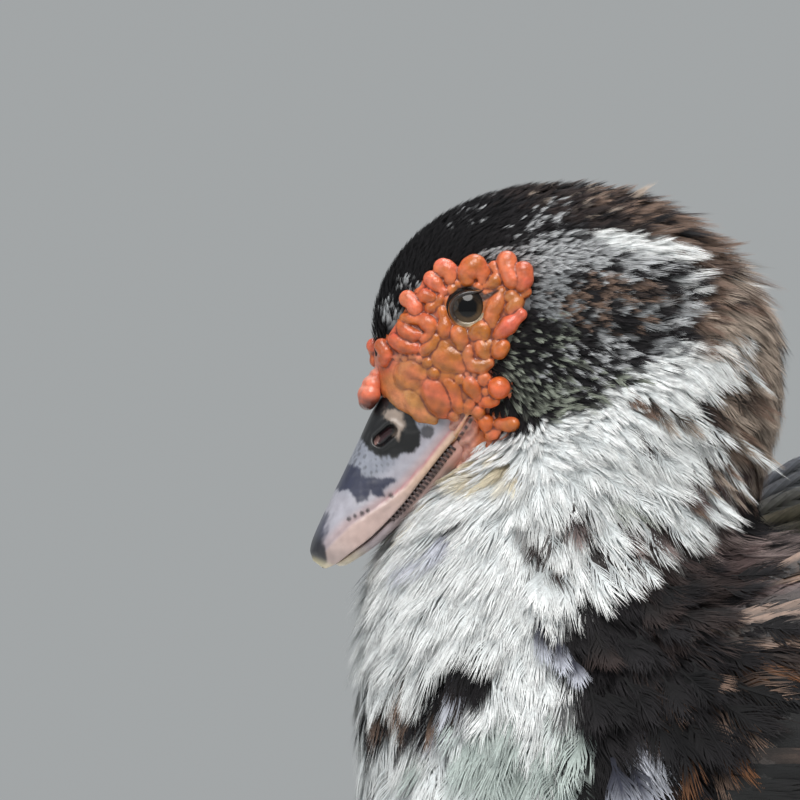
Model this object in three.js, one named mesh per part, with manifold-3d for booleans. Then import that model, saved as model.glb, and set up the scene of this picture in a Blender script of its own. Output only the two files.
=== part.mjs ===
// A muscovy duck, life size, standing with its neck drawn in and its bill lowered.
// Units are millimetres. -X points to the bill, +X to the tail, -Y is the duck's left side and +Z is up.
// Heights are measured from the floor, and the whole duck is centred in X at the end.
import * as THREE from "three";
import { mergeVertices } from "three/addons/utils/BufferGeometryUtils.js";
import Module from "manifold-3d";

const wasm = await Module();
wasm.setup();

// Driving dimensions
const gap = 0.3;
const backHeight = 262;
const vaneThickness = 0.7;
const sides = { left: -1, right: 1 };

const head = { x: 2, z: backHeight + 62, length: 55, height: 44, frontWidth: 24, cheekWidth: 30 };
const snout = { x: -31, z: backHeight + 50, length: 25, height: 18, width: 14.5 };
const billPitch = THREE.MathUtils.degToRad(54.9);
const billBase = new THREE.Vector3(-36, 0, backHeight + 39.7);
const billLength = 57;
const eye = { x: -28, z: backHeight + 68.8, radius: 8.4, proud: 2.6 };
const lids = { long: 6.4, high: 5.8, thick: 1.1, depth: 7, upturn: 0.3 };
const hipY = 44;
const toeRootX = 152;
const hock = { x: 167, z: 66 };

// Torso stations from breast to rump: where along X, the height of back and belly, and the half width
const torsoStations = [
  { x: -58, back: 177, belly: 167, half: 6 },
  { x: -52, back: 202, belly: 143, half: 38 },
  { x: -34, back: 224, belly: 123, half: 58 },
  { x: 0, back: 248, belly: 107, half: 76 },
  { x: 50, back: 262, belly: 96, half: 87 },
  { x: 110, back: 263, belly: 91, half: 91 },
  { x: 170, back: 257, belly: 94, half: 88 },
  { x: 230, back: 249, belly: 111, half: 76 },
  { x: 285, back: 241, belly: 138, half: 57 },
  { x: 325, back: 235, belly: 165, half: 41 },
  { x: 358, back: 228, belly: 188, half: 30 },
  { x: 376, back: 215, belly: 209, half: 5 },
];
const tailCut = 330;

// Neck sections from inside the head down into the breast: throat point, nape point and half width
const neckSections = [
  { throat: [-14, 305], nape: [50, 346], half: 24 },
  { throat: [-27, 287], nape: [67, 330], half: 33 },
  { throat: [-44, 270], nape: [71, 306], half: 38 },
  { throat: [-54, 250], nape: [66, 282], half: 43 },
  { throat: [-58, 225], nape: [60, 260], half: 52 },
  { throat: [-59, 202], nape: [60, 235], half: 58 },
  { throat: [-57, 180], nape: [50, 205], half: 52 },
];
const headCut = { point: [18, backHeight + 49], slope: 0.61 };
const neckCut = { point: [0, backHeight - 34], slope: 0.6 };

// Wing stations: the half width, centre and half height of the shell that the folded wings follow,
// and the upper and lower edge of the wing itself
const wingStations = [
  { x: 4, half: 73, centre: 182, high: 70, top: 226, low: 182 },
  { x: 30, half: 88, centre: 181, high: 77, top: 245, low: 156 },
  { x: 60, half: 98, centre: 179, high: 84, top: 254, low: 142 },
  { x: 110, half: 101, centre: 176, high: 88, top: 255, low: 134 },
  { x: 170, half: 98, centre: 176, high: 84, top: 250, low: 138 },
  { x: 230, half: 89, centre: 181, high: 75, top: 243, low: 150 },
  { x: 290, half: 76, centre: 191, high: 64, top: 236, low: 168 },
  { x: 350, half: 63, centre: 201, high: 51, top: 230, low: 185 },
  { x: 415, half: 53, centre: 211, high: 42, top: 224, low: 200 },
];
const wingCore = {
  from: 6,
  to: 262,
  deep: 13,
  shallow: 5,
  bluntness: 0.35,
  squareness: 6,
  innerShare: 0.93,
};

// Smooth curve of one field through a list of stations
function track(stations, field) {
  return (x) => {
    const last = stations.length - 1;
    let i = stations.findIndex((s) => s.x > x) - 1;
    if (i < 0) i = x <= stations[0].x ? 0 : last - 1;
    const a = stations[i];
    const b = stations[i + 1];
    const slope = (k) => {
      const lower = stations[Math.max(k - 1, 0)];
      const upper = stations[Math.min(k + 1, last)];
      return (upper[field] - lower[field]) / (upper.x - lower.x);
    };
    const t = THREE.MathUtils.clamp((x - a.x) / (b.x - a.x), 0, 1);
    const run = b.x - a.x;
    return (
      a[field] * (1 + 2 * t) * (1 - t) ** 2 +
      b[field] * t ** 2 * (3 - 2 * t) +
      slope(i) * run * t * (1 - t) ** 2 -
      slope(i + 1) * run * t ** 2 * (1 - t)
    );
  };
}

const steps = (count, make) => Array.from({ length: count }, (_, i) => make(i, i / (count - 1)));
const around = (count, make) => Array.from({ length: count }, (_, i) => make((2 * Math.PI * i) / count));
const power = (value, exponent) => Math.sign(value) * Math.abs(value) ** exponent;
const mix = THREE.MathUtils.lerp;

// Small repeatable variation, from -1 to 1
function vary(seed) {
  const wave = Math.sin(seed * 127.1 + 311.7) * 43758.5453;
  return 2 * (wave - Math.floor(wave)) - 1;
}

// Closed geometry through rings of equal length, each ring closed on itself and both ends capped
function loft(rings) {
  const size = rings[0].length;
  const points = rings.flat();
  const faces = [];
  for (let r = 0; r < rings.length - 1; r++) {
    for (let i = 0; i < size; i++) {
      const a = r * size + i;
      const b = r * size + ((i + 1) % size);
      faces.push(a, b, b + size, a, b + size, a + size);
    }
  }
  for (const [ring, start] of [
    [rings[0], 0],
    [rings.at(-1), (rings.length - 1) * size],
  ]) {
    const centre = ring.reduce((sum, p) => sum.add(p), new THREE.Vector3()).divideScalar(size);
    points.push(centre);
    for (let i = 0; i < size; i++) {
      const edge = [start + i, start + ((i + 1) % size)];
      if (start === 0) edge.reverse();
      faces.push(points.length - 1, ...edge);
    }
  }
  return new THREE.BufferGeometry().setFromPoints(points).setIndex(faces);
}

// A geometry as a solid, turned right side out where its faces point inwards
function solidOf(geometry) {
  const bare = geometry.clone();
  bare.deleteAttribute("normal");
  bare.deleteAttribute("uv");
  const merged = mergeVertices(bare, 1e-4);
  const vertProperties = merged.attributes.position.array;
  const triVerts = new Uint32Array(merged.index.array);
  const solid = new wasm.Manifold(new wasm.Mesh({ numProp: 3, vertProperties, triVerts }));
  if (solid.volume() > 0) return solid;
  for (let i = 0; i < triVerts.length; i += 3) {
    [triVerts[i + 1], triVerts[i + 2]] = [triVerts[i + 2], triVerts[i + 1]];
  }
  return new wasm.Manifold(new wasm.Mesh({ numProp: 3, vertProperties, triVerts }));
}

function geometryOf(solid) {
  const mesh = solid.getMesh();
  const geometry = new THREE.BufferGeometry();
  geometry.setAttribute("position", new THREE.BufferAttribute(mesh.vertProperties, 3));
  geometry.setIndex(new THREE.BufferAttribute(mesh.triVerts, 1));
  return geometry;
}

const joined = (solids) => solids.reduce((sum, solid) => sum.add(solid));
const largestBody = (solid) =>
  solid.decompose().reduce((most, body) => (body.volume() > most.volume() ? body : most));

// The half of space that lies on the normal's side of a plane
function halfSpace(point, normal) {
  const size = 1200;
  const box = new THREE.BoxGeometry(size, size, size).translate(0, 0, size / 2);
  const turn = new THREE.Quaternion().setFromUnitVectors(new THREE.Vector3(0, 0, 1), normal);
  box.applyQuaternion(turn).translate(point.x, point.y, point.z);
  return solidOf(box);
}

// The two sides of a slanting cut across the neck, with the gap between them
function parted({ point, slope }) {
  const normal = new THREE.Vector3(-slope, 0, 1).normalize();
  const middle = new THREE.Vector3(point[0], 0, point[1]);
  return {
    above: halfSpace(middle.clone().addScaledVector(normal, gap / 2), normal),
    below: halfSpace(middle.clone().addScaledVector(normal, -gap / 2), normal.clone().negate()),
  };
}

// An egg whose long axis points forwards and down, as steeply as its pitch says
function ball(centre, radii, pitch, across, high) {
  const geometry = new THREE.SphereGeometry(1, across, high).scale(...radii);
  geometry.rotateY(Math.PI - pitch).translate(...centre);
  return solidOf(geometry);
}

// Head: an egg that is broader at the cheeks than over the eyes
function headHalfWidth(x, z, grow) {
  const cheek = THREE.MathUtils.smoothstep(x, -28, 16);
  const crownTaper = 1 - (0.13 * (z - head.z)) / head.height;
  return mix(head.frontWidth, head.cheekWidth, cheek) * crownTaper + grow;
}

function headEgg(grow) {
  const geometry = new THREE.SphereGeometry(1, 24, 13).rotateX(Math.PI / 2);
  const position = geometry.attributes.position;
  for (let i = 0; i < position.count; i++) {
    const x = head.x + position.getX(i) * (head.length + grow);
    const z = head.z + position.getZ(i) * (head.height + grow);
    position.setXYZ(i, x, position.getY(i) * headHalfWidth(x, z, grow), z);
  }
  return solidOf(geometry);
}

function snoutEgg(grow) {
  const radii = [snout.length + grow, snout.width + grow, snout.height + grow];
  return ball([snout.x, 0, snout.z], radii, billPitch, 12, 8);
}

const headForm = (grow) => headEgg(grow).add(snoutEgg(grow));

// How far out the side of the head lies at a place in its profile
function headSide(x, z) {
  const squares = ((x - head.x) / head.length) ** 2 + ((z - head.z) / head.height) ** 2;
  const egg = squares < 1 ? headHalfWidth(x, z, 0) * Math.sqrt(1 - squares) : 0;
  const along = (snout.x - x) * Math.cos(billPitch) + (snout.z - z) * Math.sin(billPitch);
  const across = (snout.x - x) * Math.sin(billPitch) - (snout.z - z) * Math.cos(billPitch);
  const inside = 1 - (along / snout.length) ** 2 - (across / snout.height) ** 2;
  return Math.max(egg, inside > 0 ? snout.width * Math.sqrt(inside) : 0);
}

const headPoint = (x, z, side) => new THREE.Vector3(x, side * headSide(x, z), z);

function headNormal(x, z, side) {
  const step = 1;
  const alongX = headPoint(x + step, z, side).sub(headPoint(x - step, z, side));
  const alongZ = headPoint(x, z + step, side).sub(headPoint(x, z - step, side));
  return alongX.cross(alongZ).multiplyScalar(-side).normalize();
}

// Torso
const torsoBack = track(torsoStations, "back");
const torsoBelly = track(torsoStations, "belly");
const torsoHalf = track(torsoStations, "half");

function torsoForm(grow) {
  const first = torsoStations[0].x;
  const last = torsoStations.at(-1).x;
  const middle = (first + last) / 2;
  const rings = steps(15, (i, t) => {
    const x = middle - Math.cos(Math.PI * mix(0.03, 0.97, t)) * (last - first) * 0.5;
    const centre = (torsoBack(x) + torsoBelly(x)) / 2;
    const high = (torsoBack(x) - torsoBelly(x)) / 2 + grow;
    return around(18, (angle) => {
      const y = power(Math.cos(angle), 0.9) * (torsoHalf(x) + grow);
      return new THREE.Vector3(x, y, centre + power(Math.sin(angle), 0.9) * high);
    });
  });
  return solidOf(loft(rings));
}

// Neck
function neckForm() {
  const curveOf = (pick) => new THREE.CatmullRomCurve3(neckSections.map(pick), false, "centripetal");
  const throat = curveOf((s) => new THREE.Vector3(s.throat[0], s.half, s.throat[1]));
  const nape = curveOf((s) => new THREE.Vector3(s.nape[0], s.half, s.nape[1]));
  const rings = steps(10, (i, t) => {
    const front = throat.getPoint(t);
    const rear = nape.getPoint(t);
    return around(18, (angle) => {
      const point = rear.clone().lerp(front, 0.5 + 0.5 * Math.cos(angle));
      return point.setY(Math.sin(angle) * front.y);
    });
  });
  return solidOf(loft(rings));
}

// Bill: rings at right angles to its axis, which runs from the base down to the tip
const billAxis = new THREE.Vector3(-Math.cos(billPitch), 0, -Math.sin(billPitch));
const billUp = new THREE.Vector3(-Math.sin(billPitch), 0, Math.cos(billPitch));
const upperBillStations = [
  { x: -16, ridge: 11.5, edge: -11.6, half: 11 },
  { x: 0, ridge: 12.6, edge: -11.2, half: 11.6 },
  { x: 10, ridge: 12.3, edge: -10.4, half: 11.3 },
  { x: 20, ridge: 10.6, edge: -9.8, half: 11 },
  { x: 30, ridge: 8.9, edge: -9.1, half: 11.4 },
  { x: 42, ridge: 6.8, edge: -7, half: 12.3 },
  { x: 50, ridge: 5.4, edge: -4.6, half: 11.6 },
  { x: 55, ridge: 3.9, edge: -3.4, half: 7.6 },
  { x: billLength, ridge: 1.6, edge: -2.6, half: 2.2 },
];
const lowerBillStations = [
  { x: -16, depth: 8.5, half: 9.6 },
  { x: 0, depth: 7.4, half: 10.4 },
  { x: 16, depth: 5.6, half: 10.2 },
  { x: 35, depth: 3.6, half: 10.6 },
  { x: 46, depth: 3.3, half: 10.4 },
  { x: 52, depth: 2.6, half: 6.8 },
  { x: 54, depth: 1.4, half: 2.4 },
];

const billPoint = (along, across, up) =>
  billBase.clone().addScaledVector(billAxis, along).addScaledVector(billUp, up).setY(across);
const billEdge = track(upperBillStations, "edge");

function upperBillForm(grow) {
  const ridge = track(upperBillStations, "ridge");
  const half = track(upperBillStations, "half");
  const rings = steps(11, (i, t) => {
    const along = mix(upperBillStations[0].x, billLength + grow, t ** 0.85);
    const base = billEdge(along) - grow;
    const high = ridge(along) + grow - base;
    return steps(9, (k, u) => {
      const angle = Math.PI * u;
      const across = power(Math.cos(angle), 0.75) * (half(along) + grow);
      return billPoint(along, across, base + high * power(Math.sin(angle), 0.9));
    }).concat(steps(3, (k) => billPoint(along, (k - 1) * half(along) * 0.5, base)));
  });
  return solidOf(loft(rings));
}

// Raised nail at the tip of the upper bill
const nail = { along: billLength - 4.6, up: 1.4, radii: [5.6, 5, 3.9], droop: 0.35 };
function billNail() {
  const tip = billPoint(nail.along, 0, nail.up);
  return ball(tip.toArray(), nail.radii, billPitch + nail.droop, 10, 6);
}

const nostrilHole = { along: 14.5, across: 8.4, up: 4.4, radii: [3.9, 3.4, 1.9], droop: -0.38 };
function nostril(side) {
  const place = billPoint(nostrilHole.along, side * nostrilHole.across, nostrilHole.up);
  return ball(place.toArray(), nostrilHole.radii, billPitch + nostrilHole.droop, 8, 5);
}

function lowerBillForm() {
  const depth = track(lowerBillStations, "depth");
  const half = track(lowerBillStations, "half");
  const first = lowerBillStations[0].x;
  const last = lowerBillStations.at(-1).x;
  const rings = steps(8, (i, t) => {
    const along = mix(first, last, t ** 0.85);
    const top = billEdge(along) - gap * 1.3;
    return steps(9, (k, u) => {
      const angle = Math.PI * u;
      return billPoint(
        along,
        Math.cos(angle) * half(along),
        top - depth(along) * power(Math.sin(angle), 0.7),
      );
    }).concat(steps(3, (k) => billPoint(along, (k - 1) * half(along) * 0.5, top)));
  });
  return solidOf(loft(rings));
}

// Eyes and lids
function eyeCentre(side) {
  const surface = headPoint(eye.x, eye.z, side);
  return surface.addScaledVector(headNormal(eye.x, eye.z, side), eye.proud - eye.radius);
}

function eyeball(side, grow) {
  const geometry = new THREE.SphereGeometry(eye.radius + grow, 12, 8).rotateX(Math.PI / 2);
  return solidOf(geometry.translate(...eyeCentre(side)));
}

// Turns a lid shape from the XY plane to the slant of the eye, with its rear corner up
function setOnEye(geometry, side, depth) {
  const normal = headNormal(eye.x, eye.z, side);
  const turn = new THREE.Quaternion().setFromUnitVectors(new THREE.Vector3(0, 0, 1), normal);
  const place = eyeCentre(side).addScaledVector(normal, depth);
  return solidOf(geometry.rotateZ(-side * lids.upturn).applyQuaternion(turn).translate(...place));
}

function lidRim(side) {
  const tube = 0.2;
  const rim = new THREE.TorusGeometry(1, tube, 5, 12).scale(lids.long, lids.high, lids.thick / tube);
  return setOnEye(rim, side, lids.depth);
}

function lidOpening(side) {
  const opening = new THREE.CylinderGeometry(1, 1, eye.radius, 12).rotateX(Math.PI / 2);
  return setOnEye(opening.scale(lids.long, lids.high, 1), side, lids.depth);
}

// Caruncles: a pad of bare skin with chains of bulbs on it, each chain placed in the profile from the eye
const pad = { thick: 1.7, corners: 20 };
const padOutline = [
  [-24.5, -13],
  [-18.5, -2],
  [-11, 9.5],
  [2, 12.5],
  [15, 9.5],
  [13.5, -6],
  [9, -17],
  [12.5, -26],
  [11.5, -36.5],
  [2, -35.5],
  [-6, -34],
  [-13, -34.5],
  [-19, -31.5],
  [-24, -25],
];
const caruncleChains = [
  { name: "brow", from: [-9.5, 8], to: [14.5, 8], bow: 3, count: 5, first: 2.9, last: 4.1 },
  { name: "behind the eye", from: [12.4, 1.2], to: [8.5, -13], bow: 1, count: 3, first: 3.4, last: 3 },
  { name: "under the eye", from: [6, -6.4], to: [-8, -6], bow: -2.4, count: 4, first: 2.8, last: 2.8 },
  { name: "cheek", from: [4.5, -13], to: [-11, -12], bow: -3, count: 3, first: 3.8, last: 4.4 },
  { name: "lore", from: [-13, 2], to: [-22.5, -13], bow: 3.4, count: 4, first: 3.2, last: 2.8 },
  { name: "bill root", from: [-17, -21], to: [9.4, -25], bow: -1, count: 5, first: 4.5, last: 4.3 },
  { name: "corner of the mouth", from: [3.6, -34], to: [9.6, -35], bow: 0.6, count: 2, first: 3, last: 2.8 },
];

function facePad(side) {
  const corners = [...padOutline, padOutline[0]].map(([x, z]) => new THREE.Vector2(eye.x + x, eye.z + z));
  const outline = new THREE.Shape().setFromPoints(new THREE.SplineCurve(corners).getPoints(pad.corners));
  const depth = head.cheekWidth * 2;
  const prism = new THREE.ExtrudeGeometry(outline, { depth, bevelEnabled: false }).rotateX(Math.PI / 2);
  prism.translate(0, side > 0 ? depth + gap : -gap, 0);
  return solidOf(prism).intersect(headForm(pad.thick));
}

function caruncleBulbs(side) {
  const proud = 1.1;
  return caruncleChains.flatMap((chain, row) =>
    steps(chain.count, (i, t) => {
      const x = eye.x + mix(chain.from[0], chain.to[0], t) + 0.3 * vary(row + i * 7);
      const z = eye.z + mix(chain.from[1], chain.to[1], t) + chain.bow * 4 * t * (1 - t);
      const size = mix(chain.first, chain.last, t) * (1 + 0.08 * vary(i + row * 13));
      const place = headPoint(x, z, side).setY(side * (headSide(x, z) + proud));
      const bulb = new THREE.OctahedronGeometry(size, 1).scale(1.12, 0.88, 1);
      return solidOf(bulb.rotateY(0.6 * vary(i * 3 + row)).translate(...place));
    }),
  );
}

// Knob on the ridge of the bill where it meets the forehead: a row of bulbs from the bill up to the brow
const knob = { bulbs: 3, along: [4.5, -5], up: [16.2, 19], size: [4.6, 3.2], longer: 1.15, wider: 1.25 };
function foreheadKnob(grow) {
  const bulbs = steps(knob.bulbs, (i, t) => {
    const place = billPoint(mix(...knob.along, t), 0, mix(...knob.up, t));
    const size = mix(...knob.size, t);
    const radii = [size * knob.longer + grow, size * knob.wider + grow, size + grow];
    return ball(place.toArray(), radii, billPitch, 9, 6);
  });
  return joined(bulbs);
}

// A thin feather vane: rows of centre, side and up vectors, with the same diagonals on both faces
function vane(rows, thickness = vaneThickness) {
  const points = [];
  for (const { centre, side, up } of rows) {
    for (const sign of [-1, 1]) points.push(centre.clone().addScaledVector(side, sign));
    for (const sign of [-1, 1]) {
      points.push(centre.clone().addScaledVector(side, sign).addScaledVector(up, -thickness));
    }
  }
  const faces = [];
  const quad = (a, b, c, d) => faces.push(a, b, c, a, c, d);
  for (let r = 0; r < rows.length - 1; r++) {
    const a = r * 4;
    const b = a + 4;
    quad(a, a + 1, b + 1, b);
    faces.push(a + 2, b + 3, a + 3, a + 2, b + 2, b + 3);
    quad(a + 2, a, b, b + 2);
    quad(a + 1, a + 3, b + 3, b + 1);
  }
  const end = (rows.length - 1) * 4;
  quad(2, 3, 1, 0);
  quad(end, end + 1, end + 3, end + 2);
  return solidOf(new THREE.BufferGeometry().setFromPoints(points).setIndex(faces));
}

// Share of its full width that a vane has along its length, from its root to its tip
const roundVane = [
  { at: 0, share: 0.62 },
  { at: 0.5, share: 1 },
  { at: 0.88, share: 0.8 },
  { at: 1, share: 0.26 },
];
const shortVane = [
  { at: 0, share: 0.62 },
  { at: 0.62, share: 1 },
  { at: 1, share: 0.4 },
];
const pointedVane = [
  { at: 0, share: 0.6 },
  { at: 0.17, share: 0.85 },
  { at: 0.4, share: 1 },
  { at: 0.7, share: 0.8 },
  { at: 1, share: 0.15 },
];

// Wing
const wingTrack = Object.fromEntries(
  ["half", "centre", "high", "top", "low"].map((field) => [field, track(wingStations, field)]),
);

// A point on the shell at a height, kept just short of the shell's own crest and keel
const steepest = 0.995;
function wingPoint(x, z, lift, side) {
  const high = wingTrack.high(x) + lift;
  const rise = THREE.MathUtils.clamp((z - wingTrack.centre(x)) / high, -steepest, steepest);
  return new THREE.Vector3(x, side * (wingTrack.half(x) + lift) * Math.sqrt(1 - rise ** 2), z);
}

function wingShell(side, grow) {
  const rings = steps(8, (i, t) => {
    const x = mix(wingCore.from - grow, wingCore.to + grow, t);
    const deep = mix(wingCore.deep, wingCore.shallow, t) + grow;
    const middle = (wingTrack.top(x) + wingTrack.low(x)) / 2;
    const round = Math.sqrt(Math.max(1 - (2 * t - 1) ** wingCore.squareness, wingCore.bluntness));
    const half = ((wingTrack.top(x) - wingTrack.low(x)) / 2) * round + grow;
    const outer = steps(6, (k, u) => wingPoint(x, middle + mix(half, -half, u), grow, side));
    const innerHalf = half * wingCore.innerShare;
    const inner = steps(4, (k, u) => wingPoint(x, middle + mix(-innerHalf, innerHalf, u), -deep, side));
    return [...outer, ...inner];
  });
  return solidOf(loft(rings));
}

// Tiers of the folded wing: roots and tips in profile from the uppermost feather to the lowest
const wingTiers = [
  {
    name: "primaries",
    outline: roundVane,
    count: 5,
    roots: [[214, 224], [206, 190]],
    tips: [[412, 218], [306, 182]],
    halfWidth: [8, 9],
    lift: 1,
  },
  {
    name: "secondaries",
    outline: roundVane,
    count: 6,
    roots: [[128, 234], [80, 160]],
    tips: [[250, 214], [184, 146]],
    halfWidth: [14, 13],
    lift: 3,
  },
  {
    name: "tertials",
    outline: roundVane,
    count: 3,
    roots: [[118, 247], [120, 233]],
    tips: [[300, 232], [272, 216]],
    halfWidth: [12, 13],
    lift: 5,
  },
  {
    name: "greater coverts",
    outline: shortVane,
    count: 4,
    roots: [[84, 236], [42, 168]],
    tips: [[160, 228], [114, 146]],
    halfWidth: [13, 12],
    lift: 5,
  },
  {
    name: "median coverts",
    outline: shortVane,
    count: 4,
    roots: [[48, 234], [20, 188]],
    tips: [[104, 232], [68, 160]],
    halfWidth: [11, 10],
    lift: 6.4,
  },
];
const vaneSink = 2;
const vaneTilt = 0.13;

// A vane that follows the wing's surface, root sunk in it and lower edge tucked under its neighbour
function wingVane(side, outline, root, tip, halfWidth, lift) {
  const rows = outline.map(({ at, share }) => {
    const x = mix(root[0], tip[0], at);
    const z = mix(root[1], tip[1], at);
    const height = mix(-vaneSink, lift, Math.min(1, at * 2));
    const centre = wingPoint(x, z, height, side);
    const down = wingPoint(x, z - 2, height, side).sub(wingPoint(x, z + 2, height, side)).normalize();
    const back = wingPoint(x + 2, z, height, side).sub(wingPoint(x - 2, z, height, side)).normalize();
    const up = new THREE.Vector3().crossVectors(back, down).multiplyScalar(side).normalize();
    const across = down.addScaledVector(up, -vaneTilt).multiplyScalar(halfWidth * share);
    return { centre, side: across, up };
  });
  return vane(rows);
}

function wingVanes(side) {
  return wingTiers.flatMap((tier, row) =>
    steps(tier.count, (i, t) => {
      const place = (pair) => pair[0].map((value, axis) => mix(value, pair[1][axis], t));
      const tip = place(tier.tips);
      tip[0] += 1.5 * vary(i * 5 + row);
      return wingVane(side, tier.outline, place(tier.roots), tip, mix(...tier.halfWidth, t), tier.lift);
    }),
  );
}

// Scapulars: long pointed feathers along the shoulder, which arch clear of the back on the right side
const scapulars = {
  count: 4,
  from: [30, 232],
  to: [50, 246],
  reach: 122,
  halfWidth: 9,
  rise: 6,
  lift: 5,
  topShare: 0.93,
  arch: { left: 16, right: 40 },
};

function scapularVane(side, root, reach, arch, tilt) {
  const rows = pointedVane.map(({ at, share }) => {
    const x = root[0] + reach * at;
    const lift = mix(-vaneSink, scapulars.lift, Math.min(1, at * 3));
    const z = root[1] + scapulars.rise * at + arch * Math.sin(Math.PI * at ** 0.8);
    const shellTop = wingTrack.centre(x) + scapulars.topShare * wingTrack.high(x);
    const centre = wingPoint(x, Math.min(z, shellTop), lift, side).setZ(z);
    const across = new THREE.Vector3(0, -side * Math.cos(tilt), Math.sin(tilt));
    const up = new THREE.Vector3(0, side * Math.sin(tilt), Math.cos(tilt));
    return { centre, side: across.multiplyScalar(scapulars.halfWidth * share), up };
  });
  return vane(rows);
}

function scapularVanes(name) {
  return steps(scapulars.count, (i, t) => {
    const root = scapulars.from.map((value, axis) => mix(value, scapulars.to[axis], t));
    const reach = scapulars.reach * (1 - 0.08 * Math.abs(2 * t - 1));
    return scapularVane(sides[name], root, reach, scapulars.arch[name] * mix(0.3, 1, t), mix(0.9, 0.5, t));
  });
}

// Tail: a short core that goes on from the rump, tail feathers in a flat fan and coverts over their roots
const tail = {
  feathers: 10,
  coverts: 4,
  rootX: 352,
  z: 213,
  reach: 146,
  halfWidth: 14,
  rootSpread: 19,
  fan: 0.24,
  slope: -0.1,
  roof: 6.5,
  tilt: 0.34,
  stack: 5,
};
const tailCoverts = { rootX: tail.rootX - 22, reach: 74, halfWidth: 12, spread: 0.9, lift: 5 };
const tailCoreStations = [
  { x: tailCut - 8, back: 235, belly: 162, half: 41 },
  { x: 345, back: 231, belly: 178, half: 35 },
  { x: 368, back: 222, belly: 192, half: 28 },
  { x: 396, back: 213, belly: 200, half: 22 },
  { x: 410, back: 208, belly: 204, half: 12 },
];

function tailVane(spread, root, length, lift, halfWidth) {
  const angle = spread * tail.fan;
  const rows = roundVane.map(({ at, share }) => {
    const run = length * at;
    const x = root + run * Math.cos(angle);
    const y = spread * tail.rootSpread + run * Math.sin(angle);
    const z = tail.z - tail.roof * spread ** 2 + run * tail.slope + mix(...lift, at);
    const tilt = tail.tilt * spread;
    const across = new THREE.Vector3(0, Math.cos(tilt), -Math.sin(tilt));
    const up = new THREE.Vector3(0, Math.sin(tilt), Math.cos(tilt));
    return { centre: new THREE.Vector3(x, y, z), side: across.multiplyScalar(halfWidth * share), up };
  });
  return vane(rows);
}

function tailVanes() {
  const feathers = steps(tail.feathers, (i, t) => {
    const spread = 2 * t - 1;
    const length = tail.reach * (1 - 0.2 * spread ** 2) + 2 * vary(i);
    const lift = tail.stack * (1 - Math.abs(spread));
    return tailVane(spread, tail.rootX, length, [lift, lift], tail.halfWidth);
  });
  const coverts = steps(tail.coverts, (i, t) => {
    const spread = 2 * t - 1;
    const lift = tail.stack + 2 - 2.6 * Math.abs(spread);
    const length = tailCoverts.reach * (1 - 0.2 * spread ** 2);
    const lifts = [lift + tailCoverts.lift, lift];
    return tailVane(spread * tailCoverts.spread, tailCoverts.rootX, length, lifts, tailCoverts.halfWidth);
  });
  return [...feathers, ...coverts];
}

function tailCore() {
  const rings = tailCoreStations.map(({ x, back, belly, half }) =>
    around(16, (angle) => {
      const z = (back + belly) / 2 + (Math.sin(angle) * (back - belly)) / 2;
      return new THREE.Vector3(x, Math.cos(angle) * half, z);
    }),
  );
  return solidOf(loft(rings));
}

// Crest: overlapping feathers on the back of the crown, lifted at their tips
const crest = {
  rows: 4,
  across: 4,
  length: 21,
  halfWidth: 5,
  highest: 1.1,
  lowest: 0.55,
  spread: 1.15,
  sink: 1.5,
  lift: 8,
};

function crestVane(start, sideways) {
  const rows = shortVane.map(({ at, share }) => {
    const angle = start - (at * crest.length) / head.length;
    const lift = mix(-crest.sink, crest.lift, at ** 1.4);
    const up = new THREE.Vector3(
      Math.cos(angle) * Math.cos(sideways),
      Math.sin(sideways),
      Math.sin(angle) * Math.cos(sideways),
    );
    const x = head.x + up.x * (head.length + lift);
    const z = head.z + up.z * (head.height + lift);
    const centre = new THREE.Vector3(x, up.y * headHalfWidth(x, z, lift), z);
    const along = new THREE.Vector3(Math.sin(angle), 0, -Math.cos(angle));
    const across = new THREE.Vector3().crossVectors(up, along).normalize();
    return { centre, side: across.multiplyScalar(crest.halfWidth * share), up };
  });
  return vane(rows);
}

function crestVanes() {
  return steps(crest.rows, (row, down) =>
    steps(crest.across - (row % 2), (column, over) => {
      const sideways = (over - 0.5) * crest.spread + 0.05 * vary(row * 9 + column);
      return crestVane(mix(crest.highest, crest.lowest, down), sideways);
    }),
  ).flat();
}

// Leg: feathered thigh, bare shank and webbed foot
function ovalTube(sections, y, count) {
  const rings = sections.map(({ x, z, long, wide }) =>
    around(count, (angle) => new THREE.Vector3(x + Math.cos(angle) * long, y + Math.sin(angle) * wide, z)),
  );
  return solidOf(loft(rings));
}

const thighSections = [
  { x: 128, z: 132, long: 38, wide: 28 },
  { x: 136, z: 116, long: 37, wide: 27 },
  { x: 145, z: 101, long: 33, wide: 24 },
  { x: 155, z: 86, long: 25, wide: 19 },
  { x: 163, z: 73, long: 14, wide: 12 },
  { x: hock.x, z: hock.z + gap, long: 8.4, wide: 7.4 },
];
const shankSections = [
  { x: hock.x, z: hock.z, long: 7.4, wide: 6.6 },
  { x: 166, z: 60, long: 7.6, wide: 6.8 },
  { x: 162, z: 50, long: 6, wide: 5 },
  { x: 158, z: 34, long: 5.6, wide: 4.6 },
  { x: 155, z: 22 + gap, long: 6.4, wide: 5.2 },
];
const ankleSections = [
  { x: 155, z: 22, long: 6.4, wide: 5.2 },
  { x: 153.5, z: 14, long: 7, wide: 6 },
  { x: 151, z: 6, long: 8.5, wide: 7.5 },
  { x: 149, z: 0.6, long: 7.5, wide: 7 },
];

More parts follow.
